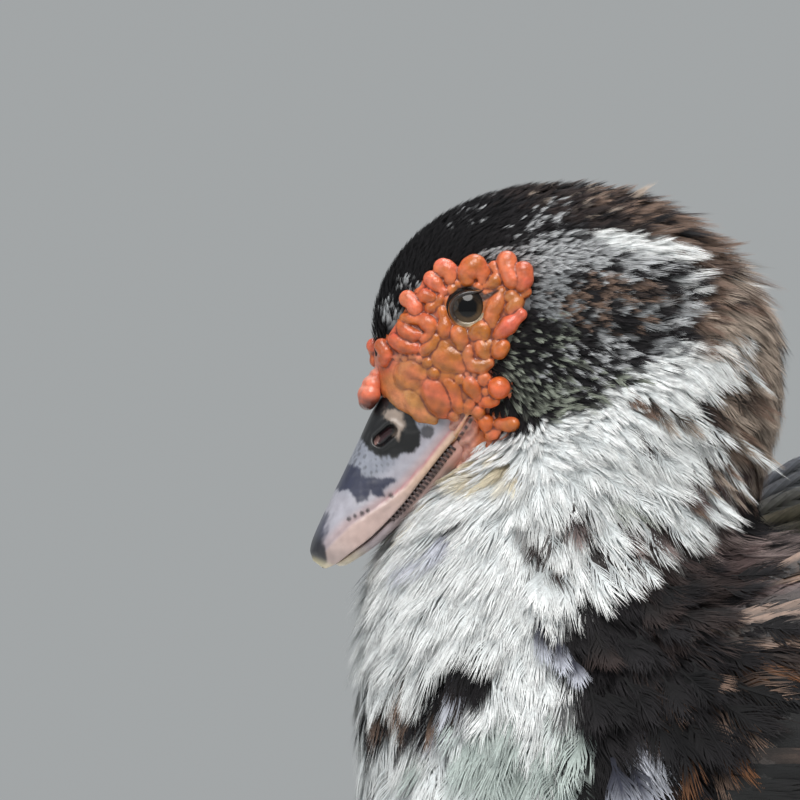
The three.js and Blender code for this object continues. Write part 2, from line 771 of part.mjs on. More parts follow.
const toes = [
  { name: "inner", angle: -0.46, length: 58, joints: 3 },
  { name: "middle", angle: 0.02, length: 74, joints: 4 },
  { name: "outer", angle: 0.48, length: 69, joints: 4 },
];
const hindToe = { name: "hind", angle: Math.PI - 0.35, length: 17, joints: 2 };
const toePad = { radius: [5, 3], knuckle: 0.4, height: 0.82 };
const web = { thickness: 1.5, z: 0.8, hollow: 0.2, short: 3 };
const claw = { length: 9, radius: 2.5, point: 0.35, rootZ: 2.7, tipZ: 0.5, curve: 0.6 };

const toeDirection = (side, toe) => new THREE.Vector3(-Math.cos(toe.angle), side * Math.sin(toe.angle), 0);
const toeRoot = (side) => new THREE.Vector3(toeRootX, side * hipY, 0);

// A ring round a toe or claw that points along the floor
function toeRing(centre, across, width, height, count) {
  return around(count, (angle) => {
    const point = centre.clone().addScaledVector(across, Math.cos(angle) * width);
    return point.setZ(centre.z + Math.sin(angle) * height);
  });
}

// A toe of knuckled pads that lie flat on the floor
function toeForm(side, toe) {
  const direction = toeDirection(side, toe);
  const across = new THREE.Vector3(-direction.y, direction.x, 0);
  const rings = steps(toe.joints * 2, (i, t) => {
    const radius = mix(...toePad.radius, t) + toePad.knuckle * (i % 2);
    const centre = toeRoot(side).addScaledVector(direction, mix(-2, toe.length, t));
    return toeRing(centre.setZ(radius * toePad.height), across, radius, radius, 6);
  });
  return solidOf(loft(rings));
}

// Web between the front toes, with a hollow curve from each toe tip to the next
function webForm(side) {
  const root = toeRoot(side);
  const tipOf = (toe) => root.clone().addScaledVector(toeDirection(side, toe), toe.length - web.short);
  const reach = toes.map(tipOf);
  const outline = new THREE.Shape();
  outline.moveTo(root.x + 4, root.y);
  outline.lineTo(reach[0].x, reach[0].y);
  for (const [from, to] of [
    [reach[0], reach[1]],
    [reach[1], reach[2]],
  ]) {
    const hollow = from.clone().lerp(to, 0.5).lerp(root, web.hollow);
    outline.quadraticCurveTo(hollow.x, hollow.y, to.x, to.y);
  }
  const sheet = new THREE.ExtrudeGeometry(outline, {
    depth: web.thickness,
    bevelEnabled: false,
    curveSegments: 4,
  });
  return solidOf(sheet.translate(0, 0, web.z));
}

function footForm(side) {
  const ankle = ovalTube(ankleSections, side * hipY, 9);
  const toeForms = [...toes, hindToe].map((toe) => toeForm(side, toe));
  const floor = halfSpace(new THREE.Vector3(), new THREE.Vector3(0, 0, 1));
  return joined([ankle, ...toeForms, webForm(side)]).intersect(floor);
}

// A curved claw just clear of the end of its toe
function clawForm(side, toe) {
  const direction = toeDirection(side, toe);
  const across = new THREE.Vector3(-direction.y, direction.x, 0);
  const start = toeRoot(side).addScaledVector(direction, toe.length + gap);
  const rings = steps(4, (i, t) => {
    const radius = mix(claw.radius, claw.point, t ** 1.2);
    const centre = start.clone().addScaledVector(direction, claw.length * t);
    centre.z = mix(claw.rootZ, claw.tipZ, t ** 2) + claw.curve * Math.sin(Math.PI * t);
    return toeRing(centre, across, radius * 0.8, radius, 6);
  });
  return solidOf(loft(rings));
}

// The pieces, each cut clear of its neighbours
const finish = {
  plumage: { color: 0x2c2724, roughness: 0.85 },
  whitePlumage: { color: 0xd9dcd8, roughness: 0.9 },
  headPlumage: { color: 0x6a6663, roughness: 0.9 },
  flight: { color: 0x24221f, roughness: 0.7 },
  caruncle: { color: 0xd9582f, roughness: 0.4 },
  bill: { color: 0xcfc3c9, roughness: 0.4 },
  eye: { color: 0x1a1512, roughness: 0.08 },
  foot: { color: 0x8a8370, roughness: 0.6 },
  claw: { color: 0x4a4138, roughness: 0.5 },
};

const duck = new THREE.Group();
function add(name, solid, look) {
  const material = new THREE.MeshStandardMaterial({ ...finish[look], metalness: 0 });
  const mesh = new THREE.Mesh(geometryOf(largestBody(solid)), material);
  mesh.name = name;
  duck.add(mesh);
  return mesh;
}

const sideNames = Object.keys(sides);
const onBothSides = (make) => joined(sideNames.map((name) => make(sides[name])));
const cutClear = (solid, rooms) => rooms.reduce((rest, room) => rest.subtract(room), solid);

const headSides = parted(headCut);
const neckSides = parted(neckCut);
const eyeSockets = onBothSides((side) => eyeball(side, gap));
const wingPockets = onBothSides((side) => wingShell(side, gap));
const wholeBody = joined([torsoForm(0), neckForm(), headForm(0)]);
const beforeTail = halfSpace(new THREE.Vector3(tailCut, 0, 0), new THREE.Vector3(-1, 0, 0));
const behindCut = halfSpace(new THREE.Vector3(tailCut + gap, 0, 0), new THREE.Vector3(1, 0, 0));

const headPlumage = wholeBody.add(joined(crestVanes())).intersect(headSides.above);
add("head", headPlumage.subtract(eyeSockets), "headPlumage");
add("neck", wholeBody.intersect(headSides.below).intersect(neckSides.above), "whitePlumage");
add("torso", wholeBody.intersect(neckSides.below).intersect(beforeTail).subtract(wingPockets), "plumage");

add("forehead_knob", cutClear(foreheadKnob(0), [headForm(gap), upperBillForm(gap)]), "caruncle");
const upperBill = upperBillForm(0).add(billNail());
add("bill_upper", cutClear(upperBill, [headForm(gap), onBothSides(nostril)]), "bill");
add("bill_lower", cutClear(lowerBillForm(), [headForm(gap), neckForm()]), "bill");

for (const name of sideNames) {
  const side = sides[name];
  add(`eye_${name}`, eyeball(side, 0), "eye");
  const bareSkin = joined([facePad(side), ...caruncleBulbs(side)]).subtract(lidOpening(side));
  const faceRoom = [headForm(gap), eyeball(side, gap), upperBillForm(gap), wholeBody, foreheadKnob(gap)];
  add(`caruncles_${name}`, cutClear(bareSkin.add(lidRim(side)), faceRoom), "caruncle");

  const feathers = joined([...wingVanes(side), ...scapularVanes(name)]);
  const bodyBesideWing = torsoForm(gap).subtract(wingShell(side, gap));
  add(`wing_${name}`, wingShell(side, 0).add(feathers).subtract(bodyBesideWing), "flight");

  add(`thigh_${name}`, ovalTube(thighSections, side * hipY, 16).subtract(torsoForm(gap)), "plumage");
  add(`shank_${name}`, ovalTube(shankSections, side * hipY, 10), "foot");
  add(`foot_${name}`, footForm(side), "foot");
  for (const toe of [...toes, hindToe]) add(`claw_${toe.name}_${name}`, clawForm(side, toe), "claw");
}
add("tail", tailCore().add(joined(tailVanes())).intersect(behindCut), "flight");

// The origin is on the floor under the middle of the whole duck
const box = new THREE.Box3().setFromObject(duck);
duck.position.set(-(box.min.x + box.max.x) / 2, 0, 0);

export default duck;
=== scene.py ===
# %% [markdown]
# # A muscovy duck, life size
# The duck stands with its neck drawn in and its bill lowered, like a mounted model in a museum.
# Its hard parts are a bill, eyes, claws and scaled feet. All the rest is feathers over soft skin.
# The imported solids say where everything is, so each piece here is built around them.

import math
import bpy
import numpy as np
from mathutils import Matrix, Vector
from mathutils.bvhtree import BVHTree
from mathutils.kdtree import KDTree


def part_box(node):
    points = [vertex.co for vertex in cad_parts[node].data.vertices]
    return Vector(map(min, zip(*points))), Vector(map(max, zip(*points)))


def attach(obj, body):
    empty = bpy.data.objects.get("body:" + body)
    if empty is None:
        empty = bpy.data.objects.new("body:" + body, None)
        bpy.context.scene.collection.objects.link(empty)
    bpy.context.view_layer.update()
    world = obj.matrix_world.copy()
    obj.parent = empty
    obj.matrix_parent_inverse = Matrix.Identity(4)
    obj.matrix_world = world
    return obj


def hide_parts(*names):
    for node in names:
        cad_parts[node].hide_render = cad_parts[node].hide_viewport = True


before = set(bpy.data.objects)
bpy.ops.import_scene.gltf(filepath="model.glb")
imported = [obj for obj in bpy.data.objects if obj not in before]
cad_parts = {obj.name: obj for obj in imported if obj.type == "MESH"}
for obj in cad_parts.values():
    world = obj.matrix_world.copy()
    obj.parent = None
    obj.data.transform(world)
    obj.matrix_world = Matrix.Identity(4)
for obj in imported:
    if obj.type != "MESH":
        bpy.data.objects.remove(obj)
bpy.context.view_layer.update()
MM = 0.001
BILL_TIP_X = -71.3
zero_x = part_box("bill_upper")[0].x / MM - BILL_TIP_X
print("nodes:", len(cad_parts), "duck's own zero in x (mm):", round(zero_x, 1))

# %% [markdown]
# ## Camera, floor and light
# A bird looks natural through a long lens from a few metres away, which keeps the bill from growing.
# The camera is level with the head, a little behind the left side, and the eye sets its place.
# The floor is one pale disc. Three large soft lamps and a pale sky give studio light without hard edges.

# %% Camera at the height of the head
VIEW_TURN = math.radians(10)
FRAME_WIDTH_MM = 235.3
EYE_RIGHT_MM = 21.3
EYE_UP_MM = 26.7
CAMERA_AWAY_MM = 3000

look = Vector((math.sin(VIEW_TURN), math.cos(VIEW_TURN), 0))
right = Vector((math.cos(VIEW_TURN), -math.sin(VIEW_TURN), 0))
up = Vector((0, 0, 1))
eye_low, eye_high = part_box("eye_left")
eye_front = Vector(((eye_low.x + eye_high.x) / 2, eye_low.y, (eye_low.z + eye_high.z) / 2))
aim = eye_front - right * EYE_RIGHT_MM * MM - up * EYE_UP_MM * MM

camera_data = bpy.data.cameras.new("camera")
camera_data.sensor_width = 36
camera_data.lens = camera_data.sensor_width * CAMERA_AWAY_MM / FRAME_WIDTH_MM
camera_data.clip_end = 100
camera = bpy.data.objects.new("camera", camera_data)
camera.location = aim - look * CAMERA_AWAY_MM * MM
camera.rotation_euler = (math.pi / 2, 0, -VIEW_TURN)
bpy.context.scene.collection.objects.link(camera)
bpy.context.scene.camera = camera
print("lens (mm):", round(camera_data.lens), "aim:", [round(v, 3) for v in aim])


# %% Helpers that choose pieces and give plain materials
SIDES = ((-1, "left"), (1, "right"))


def only(*pieces):
    bpy.ops.object.select_all(action="DESELECT")
    for piece in pieces:
        piece.select_set(True)
    bpy.context.view_layer.objects.active = pieces[0]


def smooth_shaded(piece):
    only(piece)
    bpy.ops.object.shade_smooth()
    return piece


def edit_all(piece, operator, **settings):
    """One mesh operator on the whole of a piece, in edit mode."""
    only(piece)
    bpy.ops.object.mode_set(mode="EDIT")
    bpy.ops.mesh.select_all(action="SELECT")
    operator(**settings)
    bpy.ops.object.mode_set(mode="OBJECT")


def apply(piece, kind, **settings):
    only(piece)
    step = piece.modifiers.new(kind, kind)
    for setting, value in settings.items():
        setattr(step, setting, value)
    bpy.ops.object.modifier_apply(modifier=step.name)


def finish_of(name, **sockets):
    """A new material, its nodes, its links and its shader, with these values on the shader."""
    material = bpy.data.materials.new(name)
    material.use_nodes = True
    shader = material.node_tree.nodes["Principled BSDF"]
    for socket, value in sockets.items():
        shader.inputs[socket.replace("_", " ")].default_value = value
    return material, material.node_tree.nodes, material.node_tree.links, shader


print("sides:", ", ".join(word for _, word in SIDES))

# %% Floor, lamps and sky
FLOOR_RADIUS = 4.2
FLOOR_TONE = (0.62, 0.63, 0.62, 1)
SKY_TONE = (0.66, 0.69, 0.70, 1)
SKY_STRENGTH = 0.55
# Name, place from the aim (right, away, up) and size in metres, watts, tint
LAMPS = [
    ("key_lamp", (0.05, -1.25, 1.65), 1.3, 41, (1, 0.98, 0.95)),
    ("fill_lamp", (-1.6, -0.9, 0.5), 1.6, 7, (0.95, 0.98, 1)),
    ("top_lamp", (0.3, 0.6, 1.9), 1.2, 22, (0.97, 0.98, 1)),
]

bpy.ops.object.select_all(action="DESELECT")
bpy.ops.mesh.primitive_circle_add(vertices=96, radius=FLOOR_RADIUS, fill_type="NGON")
floor = bpy.context.object
floor.name = "floor"
floor.data.materials.append(finish_of("studio_floor", Roughness=0.85, Base_Color=FLOOR_TONE)[0])

for name, place, size, watts, tint in LAMPS:
    data = bpy.data.lights.new(name, "AREA")
    data.shape = "DISK"
    data.size = size
    data.energy = watts
    data.color = tint
    lamp = bpy.data.objects.new(name, data)
    lamp.location = aim + right * place[0] + look * place[1] + up * place[2]
    lamp.rotation_euler = (aim - lamp.location).to_track_quat("-Z", "Y").to_euler()
    bpy.context.scene.collection.objects.link(lamp)

sky = bpy.data.worlds.new("sky")
sky.use_nodes = True
sky.node_tree.nodes["Background"].inputs["Color"].default_value = SKY_TONE
sky.node_tree.nodes["Background"].inputs["Strength"].default_value = SKY_STRENGTH
bpy.context.scene.world = sky
bpy.context.scene.view_settings.view_transform = "Standard"
print("lamps:", len(LAMPS))

# %% [markdown]
# ## Meshes in the duck's own millimetres
# The stations of the body are easiest to read in millimetres, measured from the shoulder and the floor.
# One helper turns points in that frame into a mesh in metres, and another joins rings into a closed form.
# A track runs a smooth curve through one column of a list of stations.

# %% Helpers for points, meshes and lofts
def to_world(points):
    return (np.asarray(points, float) + (zero_x, 0, 0)) * MM


def to_local(points):
    return np.asarray(points, float) / MM - (zero_x, 0, 0)


def vertices_of(piece):
    """Places in millimetres and directions of all points of a piece."""
    places = np.zeros(len(piece.data.vertices) * 3)
    normals = np.zeros(len(piece.data.vertices) * 3)
    piece.data.vertices.foreach_get("co", places)
    piece.data.vertices.foreach_get("normal", normals)
    return to_local(places.reshape(-1, 3)), normals.reshape(-1, 3)


def move_points(piece, points):
    piece.data.vertices.foreach_set("co", to_world(points).astype(np.float32).ravel())
    piece.data.update()


def mesh_piece(name, points, *face_sets):
    """A mesh from points in millimetres and arrays of faces, each array with its own number of corners."""
    corners = np.concatenate([faces.reshape(-1) for faces in face_sets])
    sizes = np.concatenate([np.full(len(faces), faces.shape[1]) for faces in face_sets])
    mesh = bpy.data.meshes.new(name)
    mesh.vertices.add(len(points))
    mesh.vertices.foreach_set("co", to_world(points).astype(np.float32).ravel())
    mesh.loops.add(len(corners))
    mesh.loops.foreach_set("vertex_index", corners.astype(np.int32))
    mesh.polygons.add(len(sizes))
    mesh.polygons.foreach_set("loop_start", (np.cumsum(sizes) - sizes).astype(np.int32))
    mesh.update(calc_edges=True)
    piece = bpy.data.objects.new(name, mesh)
    bpy.context.scene.collection.objects.link(piece)
    return piece


def loft(name, rings):
    """A closed form through rings of points, one after another."""
    count, size = rings.shape[:2]
    ring, step = np.meshgrid(np.arange(count - 1), np.arange(size), indexing="ij")
    a = ring * size + step
    b = ring * size + (step + 1) % size
    sides = np.stack([a, b, b + size, a + size], -1).reshape(-1, 4)
    around = np.arange(size)
    onward = (around + 1) % size
    last = (count - 1) * size
    first_cap = np.stack([np.full(size, count * size), onward, around], -1)
    last_cap = np.stack([np.full(size, count * size + 1), last + around, last + onward], -1)
    points = np.concatenate([rings.reshape(-1, 3), rings[0].mean(0)[None], rings[-1].mean(0)[None]])
    piece = mesh_piece(name, points, sides, np.concatenate([first_cap, last_cap]))
    edit_all(piece, bpy.ops.mesh.normals_make_consistent, inside=False)
    return piece


print("the duck's own zero in metres:", to_world((0, 0, 0)).round(4))


# %% Helpers for smooth curves and steps
def track(stations, column):
    """A smooth function through one column of a table, against its first column."""
    table = np.array(stations, float)
    xs = table[:, 0]
    ys = table[:, column]
    lower = np.maximum(np.arange(len(xs)) - 1, 0)
    upper = np.minimum(np.arange(len(xs)) + 1, len(xs) - 1)
    slopes = (ys[upper] - ys[lower]) / (xs[upper] - xs[lower])

    def value(x):
        i = np.clip(np.searchsorted(xs, x, side="right") - 1, 0, len(xs) - 2)
        run = xs[i + 1] - xs[i]
        t = np.clip((x - xs[i]) / run, 0, 1)
        ends = ys[i] * (1 + 2 * t) * (1 - t) ** 2 + ys[i + 1] * t**2 * (3 - 2 * t)
        return ends + slopes[i] * run * t * (1 - t) ** 2 - slopes[i + 1] * run * t**2 * (1 - t)

    return value


def mix(a, b, t):
    return a + (b - a) * t


def smooth(value, low, high):
    t = np.clip((value - low) / (high - low), 0, 1)
    return t * t * (3 - 2 * t)


def power(value, exponent):
    return np.sign(value) * np.abs(value) ** exponent


print("a step half way up from 0 to 1:", smooth(0.5, 0, 1))

# %% [markdown]
# ## The body under the feathers
# A plucked duck is one smooth form: head, neck, torso, thighs, the folded wings and the rump run into
# each other. It could be sculpted, but its main sizes are already known from the solids.
# So each main form is made from its stations, all are joined, and a voxel remesh with some smoothing
# melts them into one surface. The feathers will find their places on it.

# %% Head and snout, each from a sphere
HEAD = {"x": 2, "z": 324, "length": 55, "height": 44, "front": 24, "cheek": 30}
SNOUT = {"x": -31, "z": 312, "length": 25, "height": 18, "width": 14.5}
BILL_PITCH = math.radians(54.9)


def head_half_width(x, z):
    cheek = smooth(x, -28, 16)
    return mix(HEAD["front"], HEAD["cheek"], cheek) * (1 - 0.13 * (z - HEAD["z"]) / HEAD["height"])


def sphere_points(segments, rings):
    bpy.ops.object.select_all(action="DESELECT")
    bpy.ops.mesh.primitive_uv_sphere_add(segments=segments, ring_count=rings, radius=1)
    piece = bpy.context.object
    return piece, np.array([v.co for v in piece.data.vertices])


head_form, unit = sphere_points(48, 24)
head_x = HEAD["x"] + unit[:, 0] * HEAD["length"]
head_z = HEAD["z"] + unit[:, 2] * HEAD["height"]
head_points = np.stack([head_x, unit[:, 1] * head_half_width(head_x, head_z), head_z], -1)
move_points(head_form, head_points)

snout_form, unit = sphere_points(32, 16)
along = unit[:, 0] * SNOUT["length"]
across = unit[:, 2] * SNOUT["height"]
snout_points = np.stack(
    [
        SNOUT["x"] - along * math.cos(BILL_PITCH) - across * math.sin(BILL_PITCH),
        unit[:, 1] * SNOUT["width"],
        SNOUT["z"] - along * math.sin(BILL_PITCH) + across * math.cos(BILL_PITCH),
    ],
    -1,
)
move_points(snout_form, snout_points)
print("head", np.ptp(head_points, axis=0).round(1), "snout", np.ptp(snout_points, axis=0).round(1))

# %% Torso, neck, thighs and rump from rings
# Each torso station gives a place along x, then the height of the back and belly and the half width.
TORSO = [
    (-58, 177, 167, 6),
    (-52, 202, 143, 38),
    (-34, 224, 123, 58),
    (0, 248, 107, 76),
    (50, 262, 96, 87),
    (110, 263, 91, 91),
    (170, 257, 94, 88),
    (230, 249, 111, 76),
    (285, 241, 138, 57),
    (325, 235, 165, 41),
    (358, 228, 188, 30),
    (376, 215, 209, 5),
]
RUMP = [
    (322, 235, 162, 41),
    (345, 231, 178, 35),
    (368, 222, 192, 28),
    (396, 213, 200, 22),
    (410, 208, 204, 12),
]
# Each neck station gives the throat, the nape and the half width, from inside the head down.
NECK = [
    (0, -14, 305, 50, 346, 24),
    (1, -27, 287, 67, 330, 33),
    (2, -44, 270, 71, 306, 38),
    (3, -54, 250, 66, 282, 43),
    (4, -58, 225, 60, 260, 52),
    (5, -59, 202, 60, 235, 58),
    (6, -57, 180, 50, 205, 52),
]
# Each thigh station gives a place along x, a height and the half length and half width there.
THIGH = [
    (128, 132, 38, 28),
    (136, 116, 37, 27),
    (145, 101, 33, 24),
    (155, 86, 25, 19),
    (163, 73, 14, 12),
    (167, 66.3, 8.4, 7.4),
]
HIP_Y = 44
turn = np.linspace(0, 2 * math.pi, 40, endpoint=False)


def oval_rings(stations, places, squareness):
    back = track(stations, 1)(places)[:, None]
    belly = track(stations, 2)(places)[:, None]
    half = track(stations, 3)(places)[:, None]
    high = (back + belly) / 2 + power(np.sin(turn), squareness) * (back - belly) / 2
    wide = power(np.cos(turn), squareness) * half
    return np.stack([np.broadcast_to(places[:, None], high.shape), wide, high], -1)


sweep = -np.cos(np.linspace(0.03, 0.97, 60) * math.pi)
torso_form = loft("torso_form", oval_rings(TORSO, 159 + sweep * 217, 0.9))
rump_form = loft("rump_form", oval_rings(RUMP, np.linspace(322, 410, 14), 1))

stage = np.linspace(0, 6, 25)
throat = np.stack([track(NECK, 1)(stage), track(NECK, 2)(stage)], -1)[:, None]
nape = np.stack([track(NECK, 3)(stage), track(NECK, 4)(stage)], -1)[:, None]
profile = mix(nape, throat, 0.5 + 0.5 * np.cos(turn)[None, :, None])
neck_wide = np.sin(turn) * track(NECK, 5)(stage)[:, None]
neck_form = loft("neck_form", np.stack([profile[..., 0], neck_wide, profile[..., 1]], -1))

thigh_forms = []
for side in (-1, 1):
    rings = [
        np.stack([x + np.cos(turn) * long, side * HIP_Y + np.sin(turn) * wide, np.full(40, z)], -1)
        for x, z, long, wide in THIGH
    ]
    thigh_forms.append(loft("thigh_form", np.array(rings)))
print("stations:", len(TORSO), "torso,", len(NECK), "neck,", len(THIGH), "thigh")

# %% Folded wings
# Each wing station gives half width, centre height and half height of the shell that the wing
# lies on, then the upper and lower edge of the wing.
WING = [
    (4, 73, 182, 70, 226, 182),
    (30, 88, 181, 77, 245, 156),
    (60, 98, 179, 84, 254, 142),
    (110, 101, 176, 88, 255, 134),
    (170, 98, 176, 84, 250, 138),
    (230, 89, 181, 75, 243, 150),
    (290, 76, 191, 64, 236, 168),
    (350, 63, 201, 51, 230, 185),
    (415, 53, 211, 42, 224, 200),
]
wing_half, wing_centre, wing_high, wing_top, wing_low = (track(WING, column) for column in range(1, 6))
WING_CREST = 0.995


def wing_point(x, z, lift, side):
    rise = np.clip((z - wing_centre(x)) / (wing_high(x) + lift), -WING_CREST, WING_CREST)
    return np.stack([x, side * (wing_half(x) + lift) * np.sqrt(1 - rise**2), z], -1)


def wing_form(side):
    rings = []
    for t in np.linspace(0, 1, 30):
        x = mix(6, 262, t)
        deep = mix(13, 5, t)
        middle = (wing_top(x) + wing_low(x)) / 2
        half = (wing_top(x) - wing_low(x)) / 2 * math.sqrt(max(1 - (2 * t - 1) ** 6, 0.35))
        outer = middle + np.linspace(half, -half, 20)
        inner = middle + np.linspace(-half, half, 12) * 0.93
        ring = [wing_point(np.full(20, x), outer, 0, side), wing_point(np.full(12, x), inner, -deep, side)]
        rings.append(np.concatenate(ring))
    return loft("wing_form", np.array(rings))


wing_forms = [wing_form(-1), wing_form(1)]
print("wing reaches from", wing_low(110).round(), "to", wing_top(110).round(), "mm above the floor")

# %% One body from all forms
BODY_VOXEL_MM = 2.6

body = head_form
only(head_form, snout_form, torso_form, rump_form, neck_form, *thigh_forms, *wing_forms)
bpy.ops.object.join()
body.name = "body_skin"
apply(body, "REMESH", mode="VOXEL", voxel_size=BODY_VOXEL_MM * MM)
apply(body, "SMOOTH", factor=0.5, iterations=9)
print("body faces:", len(body.data.polygons))

# %% [markdown]
# ## Reading the surface
# Feathers need three things of the surface below them: its nearest point, its direction there and,
# for the export, a place on its unwrapped map. A BVH tree answers the first of these quickly.
# The skin that is kept is the same surface, sunk by the depth of the coat, which is thin on the face
# and thick on the body.

# %% Surface points, normals and the unwrapped map
EYE_X = -28
EYE_Z = 330.8

edit_all(body, bpy.ops.uv.smart_project, angle_limit=math.radians(66), island_margin=0.002)
body.data.uv_layers[0].name = "OFBake"

flesh, flesh_normals = vertices_of(body)
vertex_count = len(flesh)
quads = np.zeros(len(body.data.polygons) * 4, int)
body.data.polygons.foreach_get("vertices", quads)
quads = quads.reshape(-1, 4)
quad_maps = np.zeros(len(body.data.loops) * 2)
body.data.uv_layers[0].data.foreach_get("uv", quad_maps)
quad_maps = quad_maps.reshape(-1, 4, 2)
surface = BVHTree.FromPolygons(flesh.tolist(), quads.tolist())


def nearest(points):
    found = [surface.find_nearest(point)[::2] for point in points.tolist()]
    spots = np.array([place for place, face in found])
    faces = np.array([face for place, face in found])
    return spots, faces


def corner_shares(spots, faces):
    gaps = np.linalg.norm(flesh[quads[faces]] - spots[:, None], axis=2) + 0.05
    shares = 1 / gaps**2
    return shares / shares.sum(1, keepdims=True)


def map_at(spots, faces):
    """Places on the unwrapped map."""
    return (quad_maps[faces] * corner_shares(spots, faces)[..., None]).sum(1)


def normals_at(spots, faces):
    normals = (flesh_normals[quads[faces]] * corner_shares(spots, faces)[..., None]).sum(1)
    return normals / np.linalg.norm(normals, axis=1, keepdims=True)


def beside(x, z, side):
    """The point on the side of the body at this place in profile, and its face."""
    hit, _, face, _ = surface.ray_cast(Vector((x, side * 150, z)), Vector((0, -side, 0)))
    if hit is None:
        hit, _, face, _ = surface.find_nearest(Vector((x, 0, z)))
    return np.array(hit), face


print("surface points:", vertex_count, "map from", quad_maps.min().round(3), "to", quad_maps.max().round(3))

# %% Distance from the eye, and the depth of the coat by it
COAT_DEPTH = [(0, 0.6), (25, 1.4), (60, 2.6), (120, 5), (200, 7)]


def from_eye(points):
    return np.hypot(points[:, 0] - EYE_X, points[:, 2] - EYE_Z)


def bump_at(points, back, rise, long, high):
    """A soft swelling in profile round a place given from the eye, from 0 to 1."""
    x = (points[:, 0] - EYE_X - back) / long
    z = (points[:, 2] - EYE_Z - rise) / high
    return np.exp(-(x**2) - (z**2))


def by_distance(table, distance):
    places, values = np.array(table, float).T
    return np.interp(distance, places, values)


# Outline of the bare face in profile, in millimetres from the eye, up and back
BARE_FACE = [
    (-24.5, -13), (-21.5, -7), (-18.5, -2), (-15, 4.5), (-11, 9.5), (-5, 12.2), (2, 12.8), (10, 12.4),
    (17, 10.5), (18.5, 5), (17, -2), (13, -8), (11, -14), (7, -17.5), (6, -20.5), (12, -20.5), (13, -25),
    (10, -27.6), (4.5, -30.4), (14, -33.2), (13.5, -36.5), (8, -39), (4, -36), (0.5, -31.5), (-3, -33),
    (-6, -34), (-13, -34.5), (-19, -31.5), (-24, -25),
]


def outline_distance(spots, outline):
    """Distance in a plane to a closed outline, below zero inside it."""
    corners = np.array(outline, float)
    following = np.roll(corners, -1, axis=0)
    closest = np.full(len(spots), 1e9)
    inside = np.zeros(len(spots), bool)
    for a, b in zip(corners, following):
        run = b - a
        t = np.clip(((spots - a) @ run) / (run @ run), 0, 1)
        closest = np.minimum(closest, np.linalg.norm(spots - a - t[:, None] * run, axis=1))
        crosses = (a[1] > spots[:, 1]) != (b[1] > spots[:, 1])
        if a[1] != b[1]:
            inside ^= crosses & (spots[:, 0] < a[0] + (spots[:, 1] - a[1]) / (b[1] - a[1]) * run[0])
    return np.where(inside, -closest, closest)


def in_profile(points):
    """Back and up from the eye."""
    return np.stack([points[:, 0] - EYE_X, points[:, 2] - EYE_Z], -1)


def edge_distance(points, outline):
    """The same for points on the head, seen in profile from the eye."""
    return outline_distance(in_profile(points), outline)


# Outline of the pink skin at the corner of the mouth, in the same way
GAPE = [
    (-1, -32.5), (3.4, -32.5), (5.5, -36), (6, -39.5), (3.6, -42.6), (-1, -45), (-6, -47.6), (-10, -48.5),
    (-12, -44),
]
GAPE_RISE = 0.7

bare = edge_distance(flesh, BARE_FACE)
gape_gap = edge_distance(flesh, GAPE)
print("points under the bare face:", int((bare < 0).sum()))

# %% [markdown]
# ## Markings
# This duck is a dark bird with a white neck, a black crown and a cheek flecked with white and brown.
# A marking is an oval patch in profile with a ragged edge, laid over the patches before it, and both
# sides of the bird are alike. Each feather draws its own luck, so that a patch thins out in single
# feathers, as it does on a live bird. The skin below takes the same markings.

# %% Tones of the plumage
def linear(*srgb):
    """The colour that Blender wants for one picked on a screen from 0 to 255."""
    value = np.array(srgb, float) / 255
    return np.where(value < 0.04045, value / 12.92, ((value + 0.055) / 1.055) ** 2.4)


# Each tone has a colour for the hidden root of a feather and one for its tip. The darker roots are partly
# the feather's own darker base and partly painted shade, which shows in the gaps between feathers.
TONES = {
    "black": (linear(8, 8, 11), linear(26, 24, 27)),
    "charcoal": (linear(11, 10, 13), linear(34, 31, 34)),
    "umber": (linear(20, 17, 18), linear(64, 53, 51)),
    "brown": (linear(54, 44, 40), linear(146, 121, 106)),
    "rust": (linear(50, 36, 28), linear(142, 96, 62)),
    "white": (linear(222, 228, 230), linear(253, 254, 253)),
    "cream": (linear(190, 176, 148), linear(244, 236, 212)),
    "fleck": (linear(40, 38, 40), linear(224, 227, 230)),
    "sprig": (linear(54, 46, 42), linear(206, 188, 172)),
    "grey": (linear(66, 65, 68), linear(176, 180, 183)),
    "sand": (linear(120, 100, 82), linear(188, 162, 136)),
    "mauve": (linear(46, 38, 39), linear(104, 86, 84)),
    "lavender": (linear(160, 162, 176), linear(228, 231, 240)),
    "dusk": (linear(58, 50, 51), linear(166, 148, 144)),
    "frost": (linear(52, 54, 68), linear(226, 230, 242)),
    "olive": (linear(44, 46, 42), linear(182, 190, 174)),
    # Painted shade: white made greyer and greener for the lower breast, where shade falls.
    "white_in_shade": (linear(160, 172, 168), linear(212, 223, 219)),
    "flight": (linear(26, 25, 25), linear(48, 44, 41)),
}
chance = np.random.default_rng(7)
ripple_ways = chance.normal(size=(5, 3))
ripple_ways /= np.linalg.norm(ripple_ways, axis=1, keepdims=True)
ripple_starts = chance.uniform(0, 2 * math.pi, 5)


def ripple(points, size):
    """A smooth variation over the body from about -1 to 1, of this many millimetres a wave."""
    waves = np.sin(points @ ripple_ways.T * (2 * math.pi / size) + ripple_starts)
    return waves.sum(1) / 2.6


print("tones:", ", ".join(TONES))

